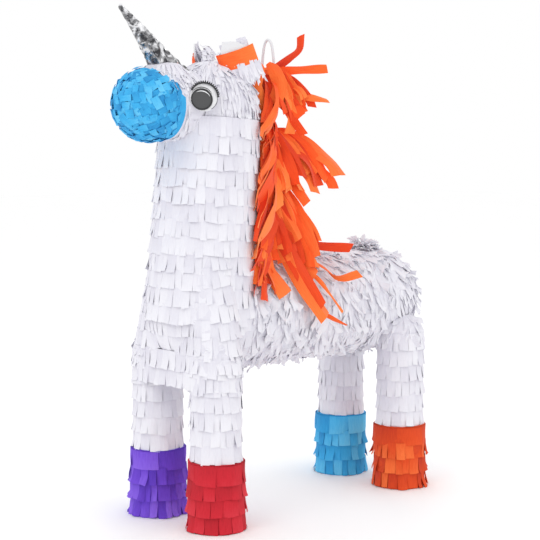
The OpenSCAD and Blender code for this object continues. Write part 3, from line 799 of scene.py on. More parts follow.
# %% Neck
COLLAR_Z = 400.0
rng = np.random.default_rng(41)
rows = tube_rows(rng, NECK, 14 + ROW * np.arange(NECK_ROWS), BROAD, glue=4.2)
rows = only(rows, clear_of(rows, [BODY, MUZZLE], 0.5, at=TIP) & (rows["root"][:, 2] < COLLAR_Z + 20))
neck = [backing("fringe_neck", [NECK], 3.4), tabs(rng, rows, (18, 20.5), **FLAT)]
finish_piece("neck_tissue", gather(neck), WHITE, stands_for=["fringe_neck"])

# %% Head and snout
INSIDE = -1.5                                # tips this far inside another form are still kept on the head
PATCH_Y = -149.0
WHITE_STOPS, BLUE_STOPS = 4.0, 5.0           # how far past the blue's edge the tabs and the flakes reach
PATCH_TOP, PATCH_NORMAL = np.array([0, -183, 458]), np.array([0, 0.629, 0.777])


def in_patch(points, grow=0.0):
    """True where the muzzle is blue: in front of its middle and under a slanted plane across the nose.
    The flakes reach a little past both, by grow."""
    return (points[:, 1] < PATCH_Y + 0.7 * grow) & ((points - PATCH_TOP) @ PATCH_NORMAL < grow)


FINE = {"lift": (0.0, 0.16), "curl": (-0.05, 0.1), "twist": (-0.5, 0.5), "fold": (-0.2, 0.2),
        "lean": (-0.12, 0.12), "taper": (0, 0.4), "wave": 0.6}
rng = np.random.default_rng(42)
rows = ring_rows(rng, HEAD, np.arange(10, 118, 10.5), (3, 5.2))
rows = only(rows, clear_of(rows, [MUZZLE, FOREHEAD], INSIDE, at=10) & (rows["root"][:, 2] > COLLAR_Z - 6))
head = [backing("fringe_head", [HEAD]), tabs(rng, trim(rows, 17, things), (14, 19), **FINE)]
finish_piece("head_tissue", gather(head), WHITE, stands_for=["fringe_head"])

rows = ring_rows(rng, MUZZLE, np.arange(8, 172, 12), (3, 5.2), glue=2.2)
rows = only(rows, clear_of(rows, [HEAD, FOREHEAD], INSIDE, at=9)
            & ~in_patch(rows["root"] + 7 * rows["down"], WHITE_STOPS))
bump = ring_rows(rng, FOREHEAD, np.arange(8, 130, 16), (3, 5), glue=2.2)
bump = only(bump, clear_of(bump, [HEAD, MUZZLE], INSIDE, at=9)
            & ~in_patch(bump["root"] + 9 * bump["down"], WHITE_STOPS))
snout = [backing("fringe_snout", [MUZZLE, FOREHEAD]), tabs(rng, trim(rows, 13, things), (11, 15), **FINE),
         tabs(rng, trim(bump, 14, things), (12, 16), **FINE)]
finish_piece("snout_tissue", gather(snout), WHITE, stands_for=["fringe_snout"])

# %% [markdown]
# The blue patch on the nose is patchwork: short broad flakes, most of them hanging down and some laid
# across, each a little askew. Rings about the nose's own forward axis spread them evenly over the front.

# %% Blue muzzle
FLAKE = 10.0                                 # a flake is glued by its middle, half of this below its edge
rng = np.random.default_rng(43)
nose = ring_rows(rng, form((0, 0, 0), (0, 0, 0), MUZZLE_R), np.arange(5, 138, 9.5), (6, 10))
nose = {k: turned(v, "X", 90) if v.ndim == 2 else v for k, v in nose.items()}
count = len(nose["out"])
askew = np.radians(rng.choice([0, 0, 90, -90, 20], count) + rng.uniform(-14, 14, count))[:, None]
hang = np.array([0, 0.35, -1.0])
hang = unit(hang - (nose["out"] @ hang)[:, None] * nose["out"])
nose["down"] = np.cos(askew) * hang + np.sin(askew) * np.cross(nose["out"], hang)
raised = (1.5 + rng.uniform(0, 2.2, (count, 1))) * nose["out"]
nose["root"] = nose["root"] + np.array(MUZZLE_AT) + raised - FLAKE / 2 * nose["down"]
nose = only(nose, in_patch(nose["root"] + FLAKE / 2 * nose["down"], BLUE_STOPS)
            & clear_of(nose, [FOREHEAD], 0.0, at=8))
blue = [backing("fringe_muzzle", [MUZZLE, FOREHEAD], 1.8),
        tabs(rng, nose, (9, 13), **{**FLAT, "lift": (0.0, 0.12), "twist": (-0.3, 0.3), "fill": (0.9, 1.05)})]
finish_piece("muzzle_tissue", gather(blue), BLUE, stands_for=["fringe_muzzle"])

# %% The tuft on the rump
rng = np.random.default_rng(44)
TUFT_AT, TUFT_COUNT = np.array([0, 139, 267.0]), 110
heading = rng.uniform(0, 2 * np.pi, TUFT_COUNT)
climb = rng.uniform(0, 1.2, TUFT_COUNT) * rng.uniform(0.2, 1, TUFT_COUNT)
ahead = np.stack([np.cos(heading) * np.cos(climb), np.sin(heading) * np.cos(climb), np.sin(climb)], 1)
over = np.stack([-np.cos(heading) * np.sin(climb), -np.sin(heading) * np.sin(climb), np.cos(climb)], 1)
tuft = {"root": TUFT_AT + ahead * [4, 4, 1], "down": ahead, "out": over,
        "width": spread(rng, (3, 5.5), TUFT_COUNT),
        "across": np.full(TUFT_COUNT, STRAIGHT), "along": np.full(TUFT_COUNT, 30.0)}
loose = tabs(rng, tuft, (9, 16), tone=(0.5, 1), lift=(-0.1, 0.2), twist=(-0.9, 0.9), fold=(-0.3, 0.3),
             lean=(-0.6, 0.6))
finish_piece("rump_tuft", loose, WHITE, stands_for=["fringe_rump_tuft"])


# %% [markdown]
# ## The mane
# Long strips of orange crepe are glued to a band down the nape. They spring up at the root and fall over to
# the animal's left, in three bundles, with a few strips that stand away. A strip is a ribbon along a smooth
# line. The strips that give the mane its outline are placed one by one. The bulk of each bundle is drawn
# round the neck by a rule, and a looser layer is mixed from two guide lines. All are pushed clear of neck,
# head and back.

# %% Ribbons
RIBBON_T, RIBBON_NU = 0.4, 5                 # thickness of the crepe, and points across a ribbon
CUT = 0.3                                    # slant of the cut end, as a share of the width
OBSTACLES = [BODY, NECK, HEAD]               # what the mane is pushed clear of


def ribbon_grids(lines, widths, faces, twists, creases):
    """Front grids of ribbons along lines shaped (n, nv, 3). The side is square to the line and to the way
    the ribbon faces, turned about the line by twist times v. Across, the ribbon is a shallow fold: its
    points stand out by crease times the width times the distance from the nearer edge, plus a ripple."""
    nv = lines.shape[1]
    v = np.linspace(0, 1, nv)[None, :, None]
    u = np.linspace(-1, 1, RIBBON_NU)
    ahead = unit(np.gradient(lines, axis=1))
    side = unit(np.cross(ahead, faces[:, None]))
    out = np.cross(side, ahead)
    a = np.radians(twists)[:, None, None] * v
    side, out = side * np.cos(a) + out * np.sin(a), out * np.cos(a) - side * np.sin(a)
    crease = creases[:, None, None]
    w = widths[:, None, None] * np.clip(0.35 + 4 * v, 0, 1) * (1 - 0.3 * crease * v)
    rise = crease * w * (1 - np.abs(u)) + 0.14 * w * u * np.sin(9 * v + crease * 40)
    front = lines[:, :, None] + side[:, :, None] * (u * w / 2)[..., None] + out[:, :, None] * rise[..., None]
    return front, w


def ribbons(rng, lines, widths, faces, twists, creases):
    """Closed crepe ribbons. The end is cut off at a slant, which shears the last row of points."""
    lines, widths = np.asarray(lines, float), np.asarray(widths, float)
    front, w = ribbon_grids(lines, widths, np.asarray(faces, float), np.asarray(twists, float),
                            np.asarray(creases, float))
    n, nv, nu = front.shape[:3]
    ahead = unit(front[:, -1] - front[:, -2])
    shear = (rng.uniform(-1, 1, n) * CUT * widths)[:, None] * np.linspace(-1, 1, nu)
    front[:, -1] += shear[..., None] * ahead
    reach = np.linalg.norm(np.diff(lines, axis=1), axis=2).sum(axis=1)[:, None, None]
    shift = rng.uniform(0, 900, (n, 2))[:, :, None, None]
    across = np.linspace(-1, 1, nu) * w / 2 + shift[:, 0]
    along = np.broadcast_to(np.linspace(0, 1, nv)[None, :, None] * reach, front.shape[:3]) + shift[:, 1]
    return sheets(front, RIBBON_T, spread(rng, (0.0, 1.0), n), across, along)


# %% Single strips, one by one
FACE_LEFT = (0.78, -0.55, 0.25)              # the way most of the mane faces


def by_hand(rng, strips):
    """Ribbons through chosen points. Each strip is (points, width, twist, crease), and its line stays
    seven millimetres off the cardboard of neck, head and body."""
    lines = np.array([smooth_line(points, 22) for points, *_ in strips])
    lines = keep_off(lines, OBSTACLES, 7.0)
    widths, twists, creases = np.array([s[1:] for s in strips], float).T
    faces = np.tile(FACE_LEFT, (len(strips), 1))
    return ribbons(rng, lines, widths, faces, twists, creases)


CREST_STRIPS = [
    ([(18, -24, 458), (22, -15, 463), (31, -6, 472), (38, 1, 481), (38, 3, 495)], 8, 25, 0.2),
    ([(18, -22, 457), (30, -7, 459), (42, 6, 460), (58, 22, 461)], 9.5, 10, 0.08),
    ([(16, -26, 446), (25, -14, 438), (38, -2, 434), (60, 21, 428)], 8.5, 35, 0.12),
    ([(28, -26, 446), (36, -19, 435), (40, -16, 424), (43, -13, 410), (40, -15, 394)], 10, 0, -0.15),
    ([(30, -26, 430), (37, -18, 421), (44, -12, 407), (51, -5, 393)], 9, -20, 0.1),
    ([(30, -36, 466), (36, -31, 456), (39, -28, 442), (35, -32, 424)], 15, -10, 0.16),
    ([(24, -42, 466), (29, -44, 461), (27, -47, 446), (26, -49, 429), (28, -47, 413), (34, -40, 400)],
     9, 10, 0.2),
    ([(22, -30, 462), (27, -30, 455), (30, -32, 436), (30, -36, 408), (34, -32, 390)], 13, 20, 0.2)]
UPPER_STRIPS = [
    ([(24, -24, 398), (34, 0, 388), (47, 15, 376), (58, 27, 363), (64, 33, 350)], 17, 25, 0.18),
    ([(26, -26, 392), (36, 0, 376), (48, 14, 360), (58, 26, 346), (60, 30, 337)], 11, -15, 0.12),
    ([(28, -28, 388), (36, -10, 377), (43, -2, 362), (50, 5, 348), (54, 9, 333)], 12, 20, 0.15),
    ([(32, -34, 384), (38, -19, 362), (45, -12, 341), (54, -3, 322)], 11, 0, 0.12),
    ([(34, -40, 402), (38, -38, 386), (41, -34, 365), (44, -30, 343)], 13, -10, 0.14),
    ([(30, -50, 398), (36, -52, 372), (36, -56, 337), (37, -58, 300)], 11, 5, 0.15)]
LOWER_STRIPS = [
    ([(32, -46, 345), (35, -42, 322), (38, -36, 300), (48, -24, 268), (60, -10, 233), (74, 4, 204)],
     18, 12, 0.3),
    ([(36, -50, 330), (42, -38, 300), (52, -22, 266), (64, -8, 234), (72, 0, 214)], 16, -10, 0.22),
    ([(34, -56, 330), (36, -55, 300), (38, -54, 280), (43, -48, 252), (52, -37, 228)], 19, 14, 0.16),
    ([(30, -36, 318), (38, -22, 296), (48, -8, 270), (60, 2, 246)], 15, 10, 0.18),
    ([(24, -10, 292), (30, 10, 280), (42, 34, 275), (58, 60, 273)], 10, 10, 0.08),
    ([(32, 0, 272), (39, 17, 261), (47, 27, 254), (59, 39, 242), (75, 55, 247)], 9, 170, 0.15),
    ([(50, -6, 254), (59, 6, 245), (69, 16, 228), (78, 26, 209)], 5, 60, 0.2),
    ([(56, -8, 232), (66, 4, 212), (75, 14, 203), (85, 24, 196)], 5, -70, 0.2),
    ([(35, -54, 363), (35, -57, 337), (35, -58, 296), (36, -56, 262), (40, -52, 246)], 7, 0, 0.2)]


# %% Bundles, by rule
PLACES = 20                                  # points along a strip that a rule draws


def bundle(rng, count, z_top, z_low, drop, swing, gap, widths, rise=9.0):
    """Strips rooted on the nape between two heights. Round the neck, an angle of 0 is straight back and
    positive angles turn to the left: a strip starts near 0 and swings to its own angle as v to the 0.8. It
    stands off by a hump that is high soon after the root, rises a little and then drops as v to the 1.4."""
    v = np.linspace(0, 1, PLACES)[None, :]

    def draw(low_high):
        return spread(rng, low_high, count)[:, None]

    z0 = draw((z_low, z_top))
    angle = np.radians(draw((-14, 16)) + draw(swing) * v**0.8)
    z = z0 + rise * np.sin(np.pi * np.clip(2.2 * v, 0, 1)) - draw(drop) * v**1.4
    off = 6 + draw(gap) * np.sin(np.pi * np.clip(v + 0.12, 0, 1)) ** 0.7 + draw((0, 5)) * v
    share = np.clip((z - NECK_FOOT[2]) / (NECK_TOP[2] - NECK_FOOT[2]), 0, 1)
    radius = NECK_R0 + (NECK_R1 - NECK_R0) * share + off
    middle = NECK_FOOT[1] + (NECK_TOP[1] - NECK_FOOT[1]) * share
    lines = np.stack([radius * np.sin(angle), middle + radius * np.cos(angle), z], 2)
    lines = keep_off(lines, [BODY, HEAD, NECK], 6.0 + rng.uniform(0, 3, (count, 1)))
    end = angle[:, -1] + rng.normal(0, 0.25, count)
    faces = np.stack([np.sin(end), np.cos(end), np.full(count, 0.25)], 1)
    return ribbons(rng, lines, spread(rng, widths, count), faces, rng.uniform(-50, 50, count),
                   rng.uniform(-0.1, 0.28, count))


def fan(rng, count, one, other, widths):
    """Strips between two guides of equally many points: each is a mix one (1 - q) + other q of the two,
    moved about by a few millimetres that grow towards the end, and its length is cut to a random share."""
    one, other = np.array(one, float), np.array(other, float)
    astray = np.linspace(0.4, 3.0, len(one))[:, None]
    fine_places = 60
    lines = []
    for q in rng.uniform(0, 1, count):
        points = one * (1 - q) + other * q + rng.normal(0, 1.0, one.shape) * astray
        line = smooth_line(points, fine_places)
        line = line[: int(fine_places * rng.uniform(0.7, 1.0))]
        lines.append(smooth_line(line[:: max(1, len(line) // 10)], PLACES))
    lines = keep_off(np.array(lines), OBSTACLES, 6.0 + rng.uniform(0, 4, (count, 1)))
    faces = np.tile(FACE_LEFT, (count, 1)) + rng.normal(0, 0.25, (count, 3))
    return ribbons(rng, lines, spread(rng, widths, count), unit(faces), rng.uniform(-45, 45, count),
                   rng.uniform(-0.15, 0.3, count))


CREST_FAN = ([(18, -40, 462), (28, -41, 457), (30, -44, 430), (32, -42, 402)],
             [(18, -22, 458), (33, -10, 450), (44, 4, 432), (52, 10, 410)])
UPPER_FAN = ([(30, -45, 402), (37, -46, 372), (40, -46, 340), (42, -44, 308)],
             [(24, -24, 400), (38, 0, 386), (52, 17, 366), (64, 30, 342)])
LOWER_FAN = ([(34, -54, 350), (37, -53, 312), (41, -50, 276), (44, -46, 246)],
             [(28, -24, 345), (42, -6, 318), (56, 8, 286), (66, 14, 252)])

rng = np.random.default_rng(51)
crest = [bundle(rng, 52, 456, 400, (30, 85), (12, 58), (4, 16), (8, 14)), by_hand(rng, CREST_STRIPS),
         fan(rng, 12, *CREST_FAN, (8, 13))]
upper = [bundle(rng, 52, 402, 318, (50, 100), (18, 66), (4, 15), (9, 16)), by_hand(rng, UPPER_STRIPS),
         fan(rng, 16, *UPPER_FAN, (9, 15))]
lower = [bundle(rng, 34, 326, 290, (30, 75), (20, 66), (3, 12), (9, 16), rise=4.0),
         by_hand(rng, LOWER_STRIPS), fan(rng, 20, *LOWER_FAN, (10, 17))]
finish_piece("mane_crest_strips", gather(crest), CREPE,
             stands_for=["mane_crest", "mane_streamers"])
finish_piece("mane_upper_strips", gather(upper), CREPE, stands_for=["mane_upper"])
finish_piece("mane_lower_strips", gather(lower), CREPE,
             stands_for=["mane_lower", "mane_flank"])


# %% [markdown]
# ## The horn
# A card cone is wrapped in kitchen foil, which crumples into flat facets with sharp ridges. Smooth noise
# would look like hammered metal, so the radius is moved by triangle waves that wind round the cone, and the
# faces are shaded flat. Towards its tip the foil is bent a little to one side.

# %% Crumpled foil
def triangle(x):
    """A triangle wave of period one between -1 and 1."""
    return 4 * np.abs(x - np.floor(x + 0.5)) - 1


rng = np.random.default_rng(61)
sides, rings = 30, 52
s = np.linspace(0, 1, rings)[:, None]
a = np.linspace(0, 1, sides, endpoint=False)[None, :]
cone_r = HORN_R0 + (HORN_R1 - HORN_R0) * s
winding = a + 1.15 * (1 - s) + 0.05 * np.sin(7 * s * np.pi)
folds = (0.5 * triangle(5 * winding) + 0.4 * triangle(8 * a - 5.5 * s + 0.3 * np.sin(9 * s))
         + 0.35 * triangle(11 * s + 2 * a + 0.2 * np.sin(4 * np.pi * a)) + 0.3 * triangle(3 * a + 17 * s))
grit = rng.uniform(-1, 1, (rings, sides)) * 0.45
foil_r = cone_r * (1.04 + 0.08 * s + 0.085 * folds) + (0.3 + 0.5 * s) * grit + 0.4
foil_r[-1] = cone_r[-1]
horn_line = HORN_TIP + HORN_LEN * s * HORN_DOWN
bend = (1 - np.clip(s / 0.22, 0, 1)) ** 2
horn_line = horn_line + bend * np.array([1.5, -1.0, -2.2])
horn_line = horn_line[: int(rings * 0.9)]
foil_skin = tube(horn_line, np.maximum(foil_r[:len(horn_line)], 0.7), np.array([1.0, 0, 0]))

FOIL = bpy.data.materials.new("silver_foil")
FOIL.use_nodes = True
nodes, link = FOIL.node_tree.nodes, FOIL.node_tree.links.new
shader = nodes["Principled BSDF"]
shader.inputs["Metallic"].default_value = 1.0
place = add(nodes, "ShaderNodeTexCoord")
cells = add(nodes, "ShaderNodeTexVoronoi", feature="DISTANCE_TO_EDGE", Scale=90.0)
ripple = add(nodes, "ShaderNodeTexNoise", Scale=75.0, Detail=4.0, Roughness=0.6, Distortion=2.0)
link(place.outputs["Object"], cells.inputs["Vector"])
link(place.outputs["Object"], ripple.inputs["Vector"])
# Painted reflections: the base colour runs with the noise from near black to light grey, standing in for
# dark and bright reflections on foil that is one even silver.
painted_reflections = add(nodes, "ShaderNodeValToRGB")
painted_reflections.color_ramp.elements[0].color = (0.05, 0.05, 0.055, 1)
painted_reflections.color_ramp.elements[0].position = 0.38
painted_reflections.color_ramp.elements[1].color = (0.8, 0.8, 0.82, 1)
painted_reflections.color_ramp.elements[1].position = 0.6
painted_reflections.color_ramp.elements.new(0.5).color = (0.3, 0.3, 0.31, 1)
link(ripple.outputs["Fac"], painted_reflections.inputs["Fac"])
link(painted_reflections.outputs["Color"], shader.inputs["Base Color"])
dull = add(nodes, "ShaderNodeMapRange", To_Min=0.16, To_Max=0.36)
link(ripple.outputs["Fac"], dull.inputs["Value"])
link(dull.outputs["Result"], shader.inputs["Roughness"])
both = add(nodes, "ShaderNodeMath", operation="MULTIPLY_ADD")
both.inputs[1].default_value = 0.6
link(ripple.outputs["Fac"], both.inputs[0])
link(cells.outputs["Distance"], both.inputs[2])
relief = add(nodes, "ShaderNodeBump", Strength=0.55, Distance=1.2 * MM)
link(both.outputs[0], relief.inputs["Height"])
link(relief.outputs["Normal"], shader.inputs["Normal"])
finish_piece("horn_foil_wrap", foil_skin, FOIL, stands_for=["horn_foil"], smooth=False)


# %% [markdown]
# ## The eyes
# Each eye is a printed paper disc: white, with a dark grey iris set low and forward, an outline that is
# heavier below, a fine line and a glint above, and a fringe of short printed lashes. Each printed shape is
# a thin sheet of its own, between two radii that change with the angle.

# %% The eye's own plane
EYE_BACK = np.array([0.485, 0.875, 0.0])     # towards the tail
EYE_UP = unit(np.cross(EYE_OUT, EYE_BACK))
PUPIL_AT = (-2.2, -2.2)
PUPIL_R = 10.5
PRINT_T = 0.25                               # thickness of a printed shape


def on_eye(x, y, height, side):
    """Points of the eye's plane: x towards the tail, y up, height above the back of the card."""
    points = (EYE_AT + x[..., None] * EYE_BACK + y[..., None] * EYE_UP
              + np.asarray(height)[..., None] * unit(EYE_OUT))
    return points * (MIRROR if side < 0 else 1)


def arc_piece(side, centre, start, end, inner, outer, height, nv=60):
    """A closed sheet between two radii about a centre, from one angle to another in degrees. inner and
    outer are functions of the share of the arc, from 0 to 1."""
    v = np.linspace(0, 1, nv)
    a = np.radians(start + (end - start) * v)[:, None]
    r = inner(v)[:, None] + (outer(v) - inner(v))[:, None] * np.linspace(0, 1, 3)
    front = on_eye(centre[0] + r * np.cos(a), centre[1] + r * np.sin(a), np.full(r.shape, height), side)
    if side > 0:
        front = front[:, ::-1]
    return sheets(front[None], PRINT_T, [0.5], np.zeros((1, nv, 3)), np.zeros((1, nv, 3)))


def lens_shape(side, centre, radius, height, rise):
    """A disc that is domed by rise: concentric rings at shares q of the radius, whose height is
    rise (1 - q^2), a wall and a flat back."""
    sides, below = 56, height - 0.3
    q = np.linspace(1, 0.12, 7)[:, None]
    a = np.linspace(0, 2 * np.pi, sides, endpoint=False)[None, :]
    x, y = centre[0] + radius * q * np.cos(a), centre[1] + radius * q * np.sin(a)
    top = on_eye(x, y, np.broadcast_to(height + rise * (1 - q**2), x.shape), side)
    foot = on_eye(x[:1], y[:1], np.full((1, sides), below), side)
    grid = np.concatenate([foot, top])
    k = np.arange(grid.shape[0] * sides).reshape(-1, sides)
    nxt = np.roll(k, -1, axis=1)
    quads = np.stack([k[:-1], nxt[:-1], nxt[1:], k[1:]], -1).reshape(-1, 4)
    poles = on_eye(np.full(2, centre[0]), np.full(2, centre[1]), np.array([below, height + rise]), side)
    p = len(k) * sides
    fans = np.concatenate([np.stack([nxt[0], k[0], np.full(sides, p)], 1),
                           np.stack([k[-1], nxt[-1], np.full(sides, p + 1)], 1)])
    if side < 0:
        quads, fans = quads[:, ::-1], fans[:, ::-1]
    return plain(np.concatenate([grid.reshape(-1, 3), poles]), [quads, fans])


# %% Radii of the printed shapes
def even(radius):
    """A radius that stays the same along the arc."""
    return lambda v: np.full_like(v, radius)


def swelling(radius, by):
    """A radius that changes by as much as by in the middle of the arc and goes back to where it was."""
    return lambda v: radius + by * np.sin(np.pi * v)


def heavy_below(v):
    """The inner edge of the iris's outline, which is thickest at the bottom, a quarter of the way round."""
    return PUPIL_R - 0.9 - 0.5 * np.cos(2 * np.pi * (v - 0.25))


def lash_tips(v):
    """Nineteen pointed lashes, which are longest in the middle of the arc."""
    return EYE_R + 0.4 + (0.5 + 1.9 * np.sin(np.pi * v) ** 0.5) * (0.5 + 0.5 * triangle(19 * v))


# %% Eye pieces
INK = paper("black_ink", [(0.012, 0.012, 0.014), (0.03, 0.03, 0.033)], scale=1500.0, coords="Object",
            rough=0.55, bump=0.1)
IRIS = paper("grey_print", [(0.03, 0.03, 0.03), (0.075, 0.075, 0.078), (0.12, 0.12, 0.12)], scale=3500.0,
             stretch=1.0, coords="Object", rough=0.45, bump=0.1)
CARD = paper("smooth_white_card", [(0.78, 0.78, 0.8), (0.9, 0.9, 0.92)], scale=1800.0, stretch=0.6,
             coords="Object", rough=0.5, bump=0.08)
DISC = (0, 0)                                # the middle of the white card
for side, name in ((1, "left"), (-1, "right")):
    iris = lens_shape(side, PUPIL_AT, PUPIL_R - 0.2, 1.0, 0.3)
    finish_piece("eye_iris_" + name, iris, IRIS, stands_for=["eye_pupil_" + name])
    outline = arc_piece(side, PUPIL_AT, -178, 178, heavy_below, even(PUPIL_R + 0.3), 1.35)
    line = arc_piece(side, PUPIL_AT, 25, 150, even(PUPIL_R + 1.2), swelling(PUPIL_R + 1.25, 0.55), 1.1)
    edge = arc_piece(side, DISC, -60, 40, even(EYE_R - 0.5), even(EYE_R - 0.1), 1.0)
    lashes = arc_piece(side, DISC, -2, 152, even(EYE_R - 1.0), lash_tips, 2.4, nv=190)
    finish_piece("eye_print_" + name, gather([outline, line, edge, lashes]), INK)
    glint = arc_piece(side, PUPIL_AT, 20, 125, swelling(PUPIL_R - 2.0, -0.9), swelling(PUPIL_R - 1.8, -0.1),
                      1.4)
    finish_piece("eye_glint_" + name, glint, CARD)


# %% [markdown]
# ## The ears
# Each ear is a bent piece of white card with an orange crepe band folded round it. Under the band hangs a
# curtain of white fringe, and the inner face is covered with the same fine tissue as the head.

# %% The ear's own plane
EAR_AT, EAR_YAW, EAR_ROLL = np.array([31.0, -79, 470]), 47.0, -20.0


def on_ear(x, y, depth, side):
    """Points of the ear's plate: x along it, y up it, depth outwards from its outer face's back."""
    local = np.stack([x, -np.asarray(depth, float) * np.ones_like(x), y], -1)
    points = turned(turned(local, "Y", EAR_ROLL), "Z", EAR_YAW) + EAR_AT
    return points * (MIRROR if side < 0 else 1)


def ear_rows(rng, x, y, depth, outwards, side, widths):
    """Rows for tabs that hang down the plate, with outwards 1 for its outer face and -1 for its inner."""
    n = len(x)
    zero = np.zeros(1)
    origin = on_ear(zero, zero, 0.0, side)[0]
    down = unit(on_ear(zero, zero - 1.0, 0.0, side)[0] - origin)
    out = unit(on_ear(zero, zero, outwards, side)[0] - origin)
    return {"root": on_ear(x, y, depth, side), "down": np.tile(down, (n, 1)), "out": np.tile(out, (n, 1)),
            "width": spread(rng, widths, n), "across": np.full(n, STRAIGHT), "along": np.full(n, STRAIGHT)}


# %% Bands and fringes of the ears
def ear_band(side):
    """The crepe band as one sheet: u across it and v along it, bowed, with slow folds, and bent back at
    both ends by 3 |v|^7 millimetres."""
    u, v = np.linspace(-1, 1, 9)[None, :], np.linspace(-1, 1, 30)[:, None]
    x = 19.5 * v + 0.8 * u * np.sin(3 * v)
    y = -1.5 + 8.8 * u + 1.5 * v**2 - 0.4 * v
    depth = 3.2 + 0.45 * np.sin(7 * v + 2 * u) + 0.3 * np.sin(13 * v - 3 * u) - 3.0 * np.abs(v) ** 7
    front = on_ear(x, y, depth, side)
    if side > 0:
        front = front[:, ::-1]
    return sheets(front[None], RIBBON_T, [0.75], (y * np.ones_like(x))[None], (x * np.ones_like(y))[None])


HEM_TABS, ROW_TABS = 34, 16                  # tabs in a row under the band, and in one on the inner face
INNER_ROWS = (16, 9, 2, -5)                  # heights of the rows on the inner face
LUMP_R = 8.0                                 # two balls of tissue stand behind the inner face
for seed, (side, name) in enumerate(((1, "left"), (-1, "right"))):
    rng = np.random.default_rng(70 + seed)
    finish_piece("ear_band_wrap_" + name, ear_band(side), CREPE,
                 stands_for=["ear_band_" + name])
    hems = [ear_rows(rng, rng.uniform(-14, 19, HEM_TABS), rng.uniform(-12, -6, HEM_TABS),
                     spread(rng, (1.8, 3.4), HEM_TABS), 1.0, side, (2.2, 4)) for _ in range(3)]
    inner = [ear_rows(rng, rng.uniform(-14, 14, ROW_TABS), top + rng.uniform(-2, 2, ROW_TABS),
                      -0.4, -1.0, side, (3.5, 6)) for top in INNER_ROWS]
    curtain = [tabs(rng, hem, (13, 21), **{**FINE, "lift": (0.0, 0.3)}) for hem in hems]
    lining = [tabs(rng, rows, (11, 16), **{**FINE, "lift": (0.1, 0.5)}) for rows in inner]
    outwards = ear_rows(rng, np.zeros(1), np.zeros(1), 0.0, 1.0, side, (1, 2))["out"][0]
    lumps = []
    for x in (-9.0, 7.0):
        heart = on_ear(np.array([x]), np.array([3.0]), -LUMP_R, side)[0]
        ball = ring_rows(rng, form(heart, heart, LUMP_R), np.arange(8, 160, 26), (3, 6))
        ball = only(ball, ball["out"] @ outwards < 0.1)
        lumps.append(tabs(rng, ball, (7, 11), tone=(0.5, 1),
                          **{**FINE, "lift": (0.1, 0.5), "lean": (-0.4, 0.4)}))
    finish_piece("ear_tissue_" + name, gather(curtain + lining + lumps), WHITE,
                 stands_for=["ear_fringe_" + name])


# %% [markdown]
# ## The flap's tape
# The filling flap is cut in the right flank and turns on a strip of gummed paper tape. The tape is one
# curved strip laid over the crease, reaching a little way onto the body and onto the flap.

# %% Tape
KRAFT_TAPE = paper("kraft_tape", [rgb("B08A58"), rgb("C9A878")], scale=1200.0, stretch=0.3,
                   coords="Object", rough=0.6)
HINGE_ANGLE, TAPE_HALF, TAPE_T = 50.0, 6.0, 0.4
y, a = np.meshgrid(np.linspace(FLAP_Y[0] + 2, FLAP_Y[1] - 2, 40),
                   np.radians(np.linspace(HINGE_ANGLE + TAPE_HALF, HINGE_ANGLE - TAPE_HALF, 13)))
tape_r = BODY_R + TAPE_T + 0.05 * np.sin(9 * y) * np.sin(8 * a)
front = np.stack([-tape_r * np.cos(a), y, BODY_Z + tape_r * np.sin(a)], 2)
tape = sheets(front[None], TAPE_T, [0.6], y[None], np.degrees(a)[None])
tape_piece = put_mesh("tape_strip", tape, KRAFT_TAPE)
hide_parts("flap_tape")
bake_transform(tape_piece)


# %% [markdown]
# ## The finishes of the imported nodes
# The cardboard, the head, the cards, the mane's band and the cord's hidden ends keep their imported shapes.
# Each gets a material that reads Object coordinates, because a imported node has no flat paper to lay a
# pattern on. White paper is pasted over the outside of the cardboard, so nothing brown shows where a tab
# lifts; the body and the flap stay brown inside.

# %% Finishes of what is shown as packed
KRAFT = paper("brown_cardboard", [rgb("9A7447"), rgb("B98F5C"), rgb("C9A26E")], scale=700.0, stretch=0.25,
              coords="Object", rough=0.9, bump=0.3)
LINING = paper("lining_paper", [rgb("D2D0DA"), rgb("E2E1E8"), rgb("E8E8EC")], scale=700.0, stretch=0.25,
               coords="Object")


def lined_card():
    """Brown cardboard with white paper pasted over its outer face, told by how far a point is from the
    line down the middle of the body: the line is reached by clamping the point's own place along Y."""
    material = KRAFT.copy()
    material.name = "lined_cardboard"
    nodes, link = material.node_tree.nodes, material.node_tree.links.new
    place = add(nodes, "ShaderNodeTexCoord")
    split = add(nodes, "ShaderNodeSeparateXYZ")
    along = add(nodes, "ShaderNodeClamp", Min=CHEST_Y * MM, Max=RUMP_Y * MM)
    middle = add(nodes, "ShaderNodeCombineXYZ", X=0.0, Z=BODY_Z * MM)
    far = add(nodes, "ShaderNodeVectorMath", operation="DISTANCE")
    outer = add(nodes, "ShaderNodeMath", operation="GREATER_THAN")
    outer.inputs[1].default_value = (BODY_R - 0.6) * MM
    mix = add(nodes, "ShaderNodeMix", data_type="RGBA")
    mix.inputs[7].default_value = (*rgb("E2E1E8"), 1)
    link(place.outputs["Object"], split.inputs[0])
    link(split.outputs["Y"], along.inputs["Value"])
    link(along.outputs[0], middle.inputs["Y"])
    link(place.outputs["Object"], far.inputs[0])
    link(middle.outputs[0], far.inputs[1])
    link(far.outputs["Value"], outer.inputs[0])
    link(outer.outputs[0], mix.inputs[0])
    shader = nodes["Principled BSDF"]
    link(shader.inputs["Base Color"].links[0].from_socket, mix.inputs[6])
    link(mix.outputs[2], shader.inputs["Base Color"])
    return material


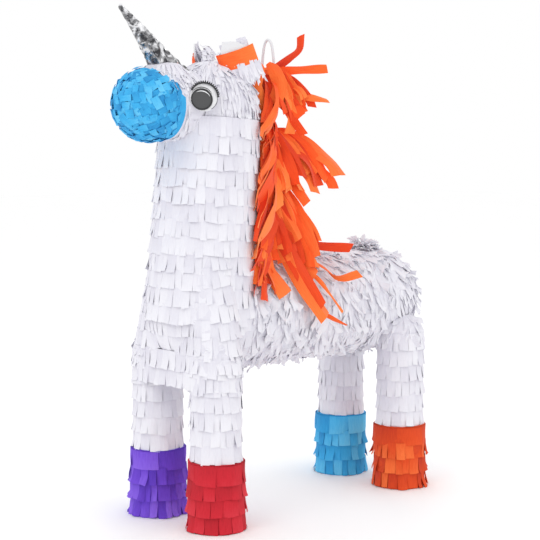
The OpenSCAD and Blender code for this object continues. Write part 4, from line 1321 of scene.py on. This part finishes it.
LINED = lined_card()
OF_LEGS = [part + leg for part in ("leg_tube_", "foot_disc_") for leg in LEG_NAMES]
CARDS = ["horn_cone", "ear_card_left", "ear_card_right", "eye_card_left", "eye_card_right"]
FINISHES = {**dict.fromkeys(["torso_tube", "chest_cap", "rump_cap", "fill_flap"], LINED),
            **dict.fromkeys(["head_shell", "muzzle_shell", "neck_shell", *OF_LEGS], LINING),
            **dict.fromkeys(CARDS, CARD),
            **dict.fromkeys(["cord_tails", "cord_stopper"], COTTON),
            "mane_band": CREPE}
for name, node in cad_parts.items():
    node.data.materials.clear()
    node.data.materials.append(FINISHES.get(name, KRAFT))
print("finished nodes:", len(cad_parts))


# %% [markdown]
# ## Floor and light
# A white floor that runs into a white sky, one large soft key from in front, a weaker fill from the
# animal's left and a light from behind for the edges of the paper.

# %% Floor and lights
FLOOR_SIZE = 12                              # metres
bpy.ops.mesh.primitive_plane_add(size=FLOOR_SIZE)
floor = bpy.context.active_object
floor.name = "floor"
FLOOR = bpy.data.materials.new("pale_floor")
FLOOR.use_nodes = True
FLOOR.node_tree.nodes["Principled BSDF"].inputs["Base Color"].default_value = (1.0, 1.0, 1.0, 1)
FLOOR.node_tree.nodes["Principled BSDF"].inputs["Roughness"].default_value = 0.9
floor.data.materials.append(FLOOR)

world = bpy.data.worlds.new("studio")
world.use_nodes = True
world.node_tree.nodes["Background"].inputs["Color"].default_value = (1.0, 1.0, 1.0, 1)
world.node_tree.nodes["Background"].inputs["Strength"].default_value = 1.0
bpy.context.scene.world = world


def soft_light(name, place, size, power):
    """A square area light at place, turned to the middle of the figure."""
    data = bpy.data.lights.new(name, "AREA")
    data.size = size
    data.energy = power
    light = bpy.data.objects.new(name, data)
    light.location = place
    light.rotation_euler = (Vector((0, 0, 0.25)) - Vector(place)).to_track_quat("-Z", "Y").to_euler()
    bpy.context.collection.objects.link(light)


soft_light("key", (0.3, -1.4, 1.5), 0.8, 4)
soft_light("fill", (1.6, 0.3, 0.8), 1.2, 1.5)
soft_light("rim", (-0.9, 0.9, 1.2), 0.8, 2.5)
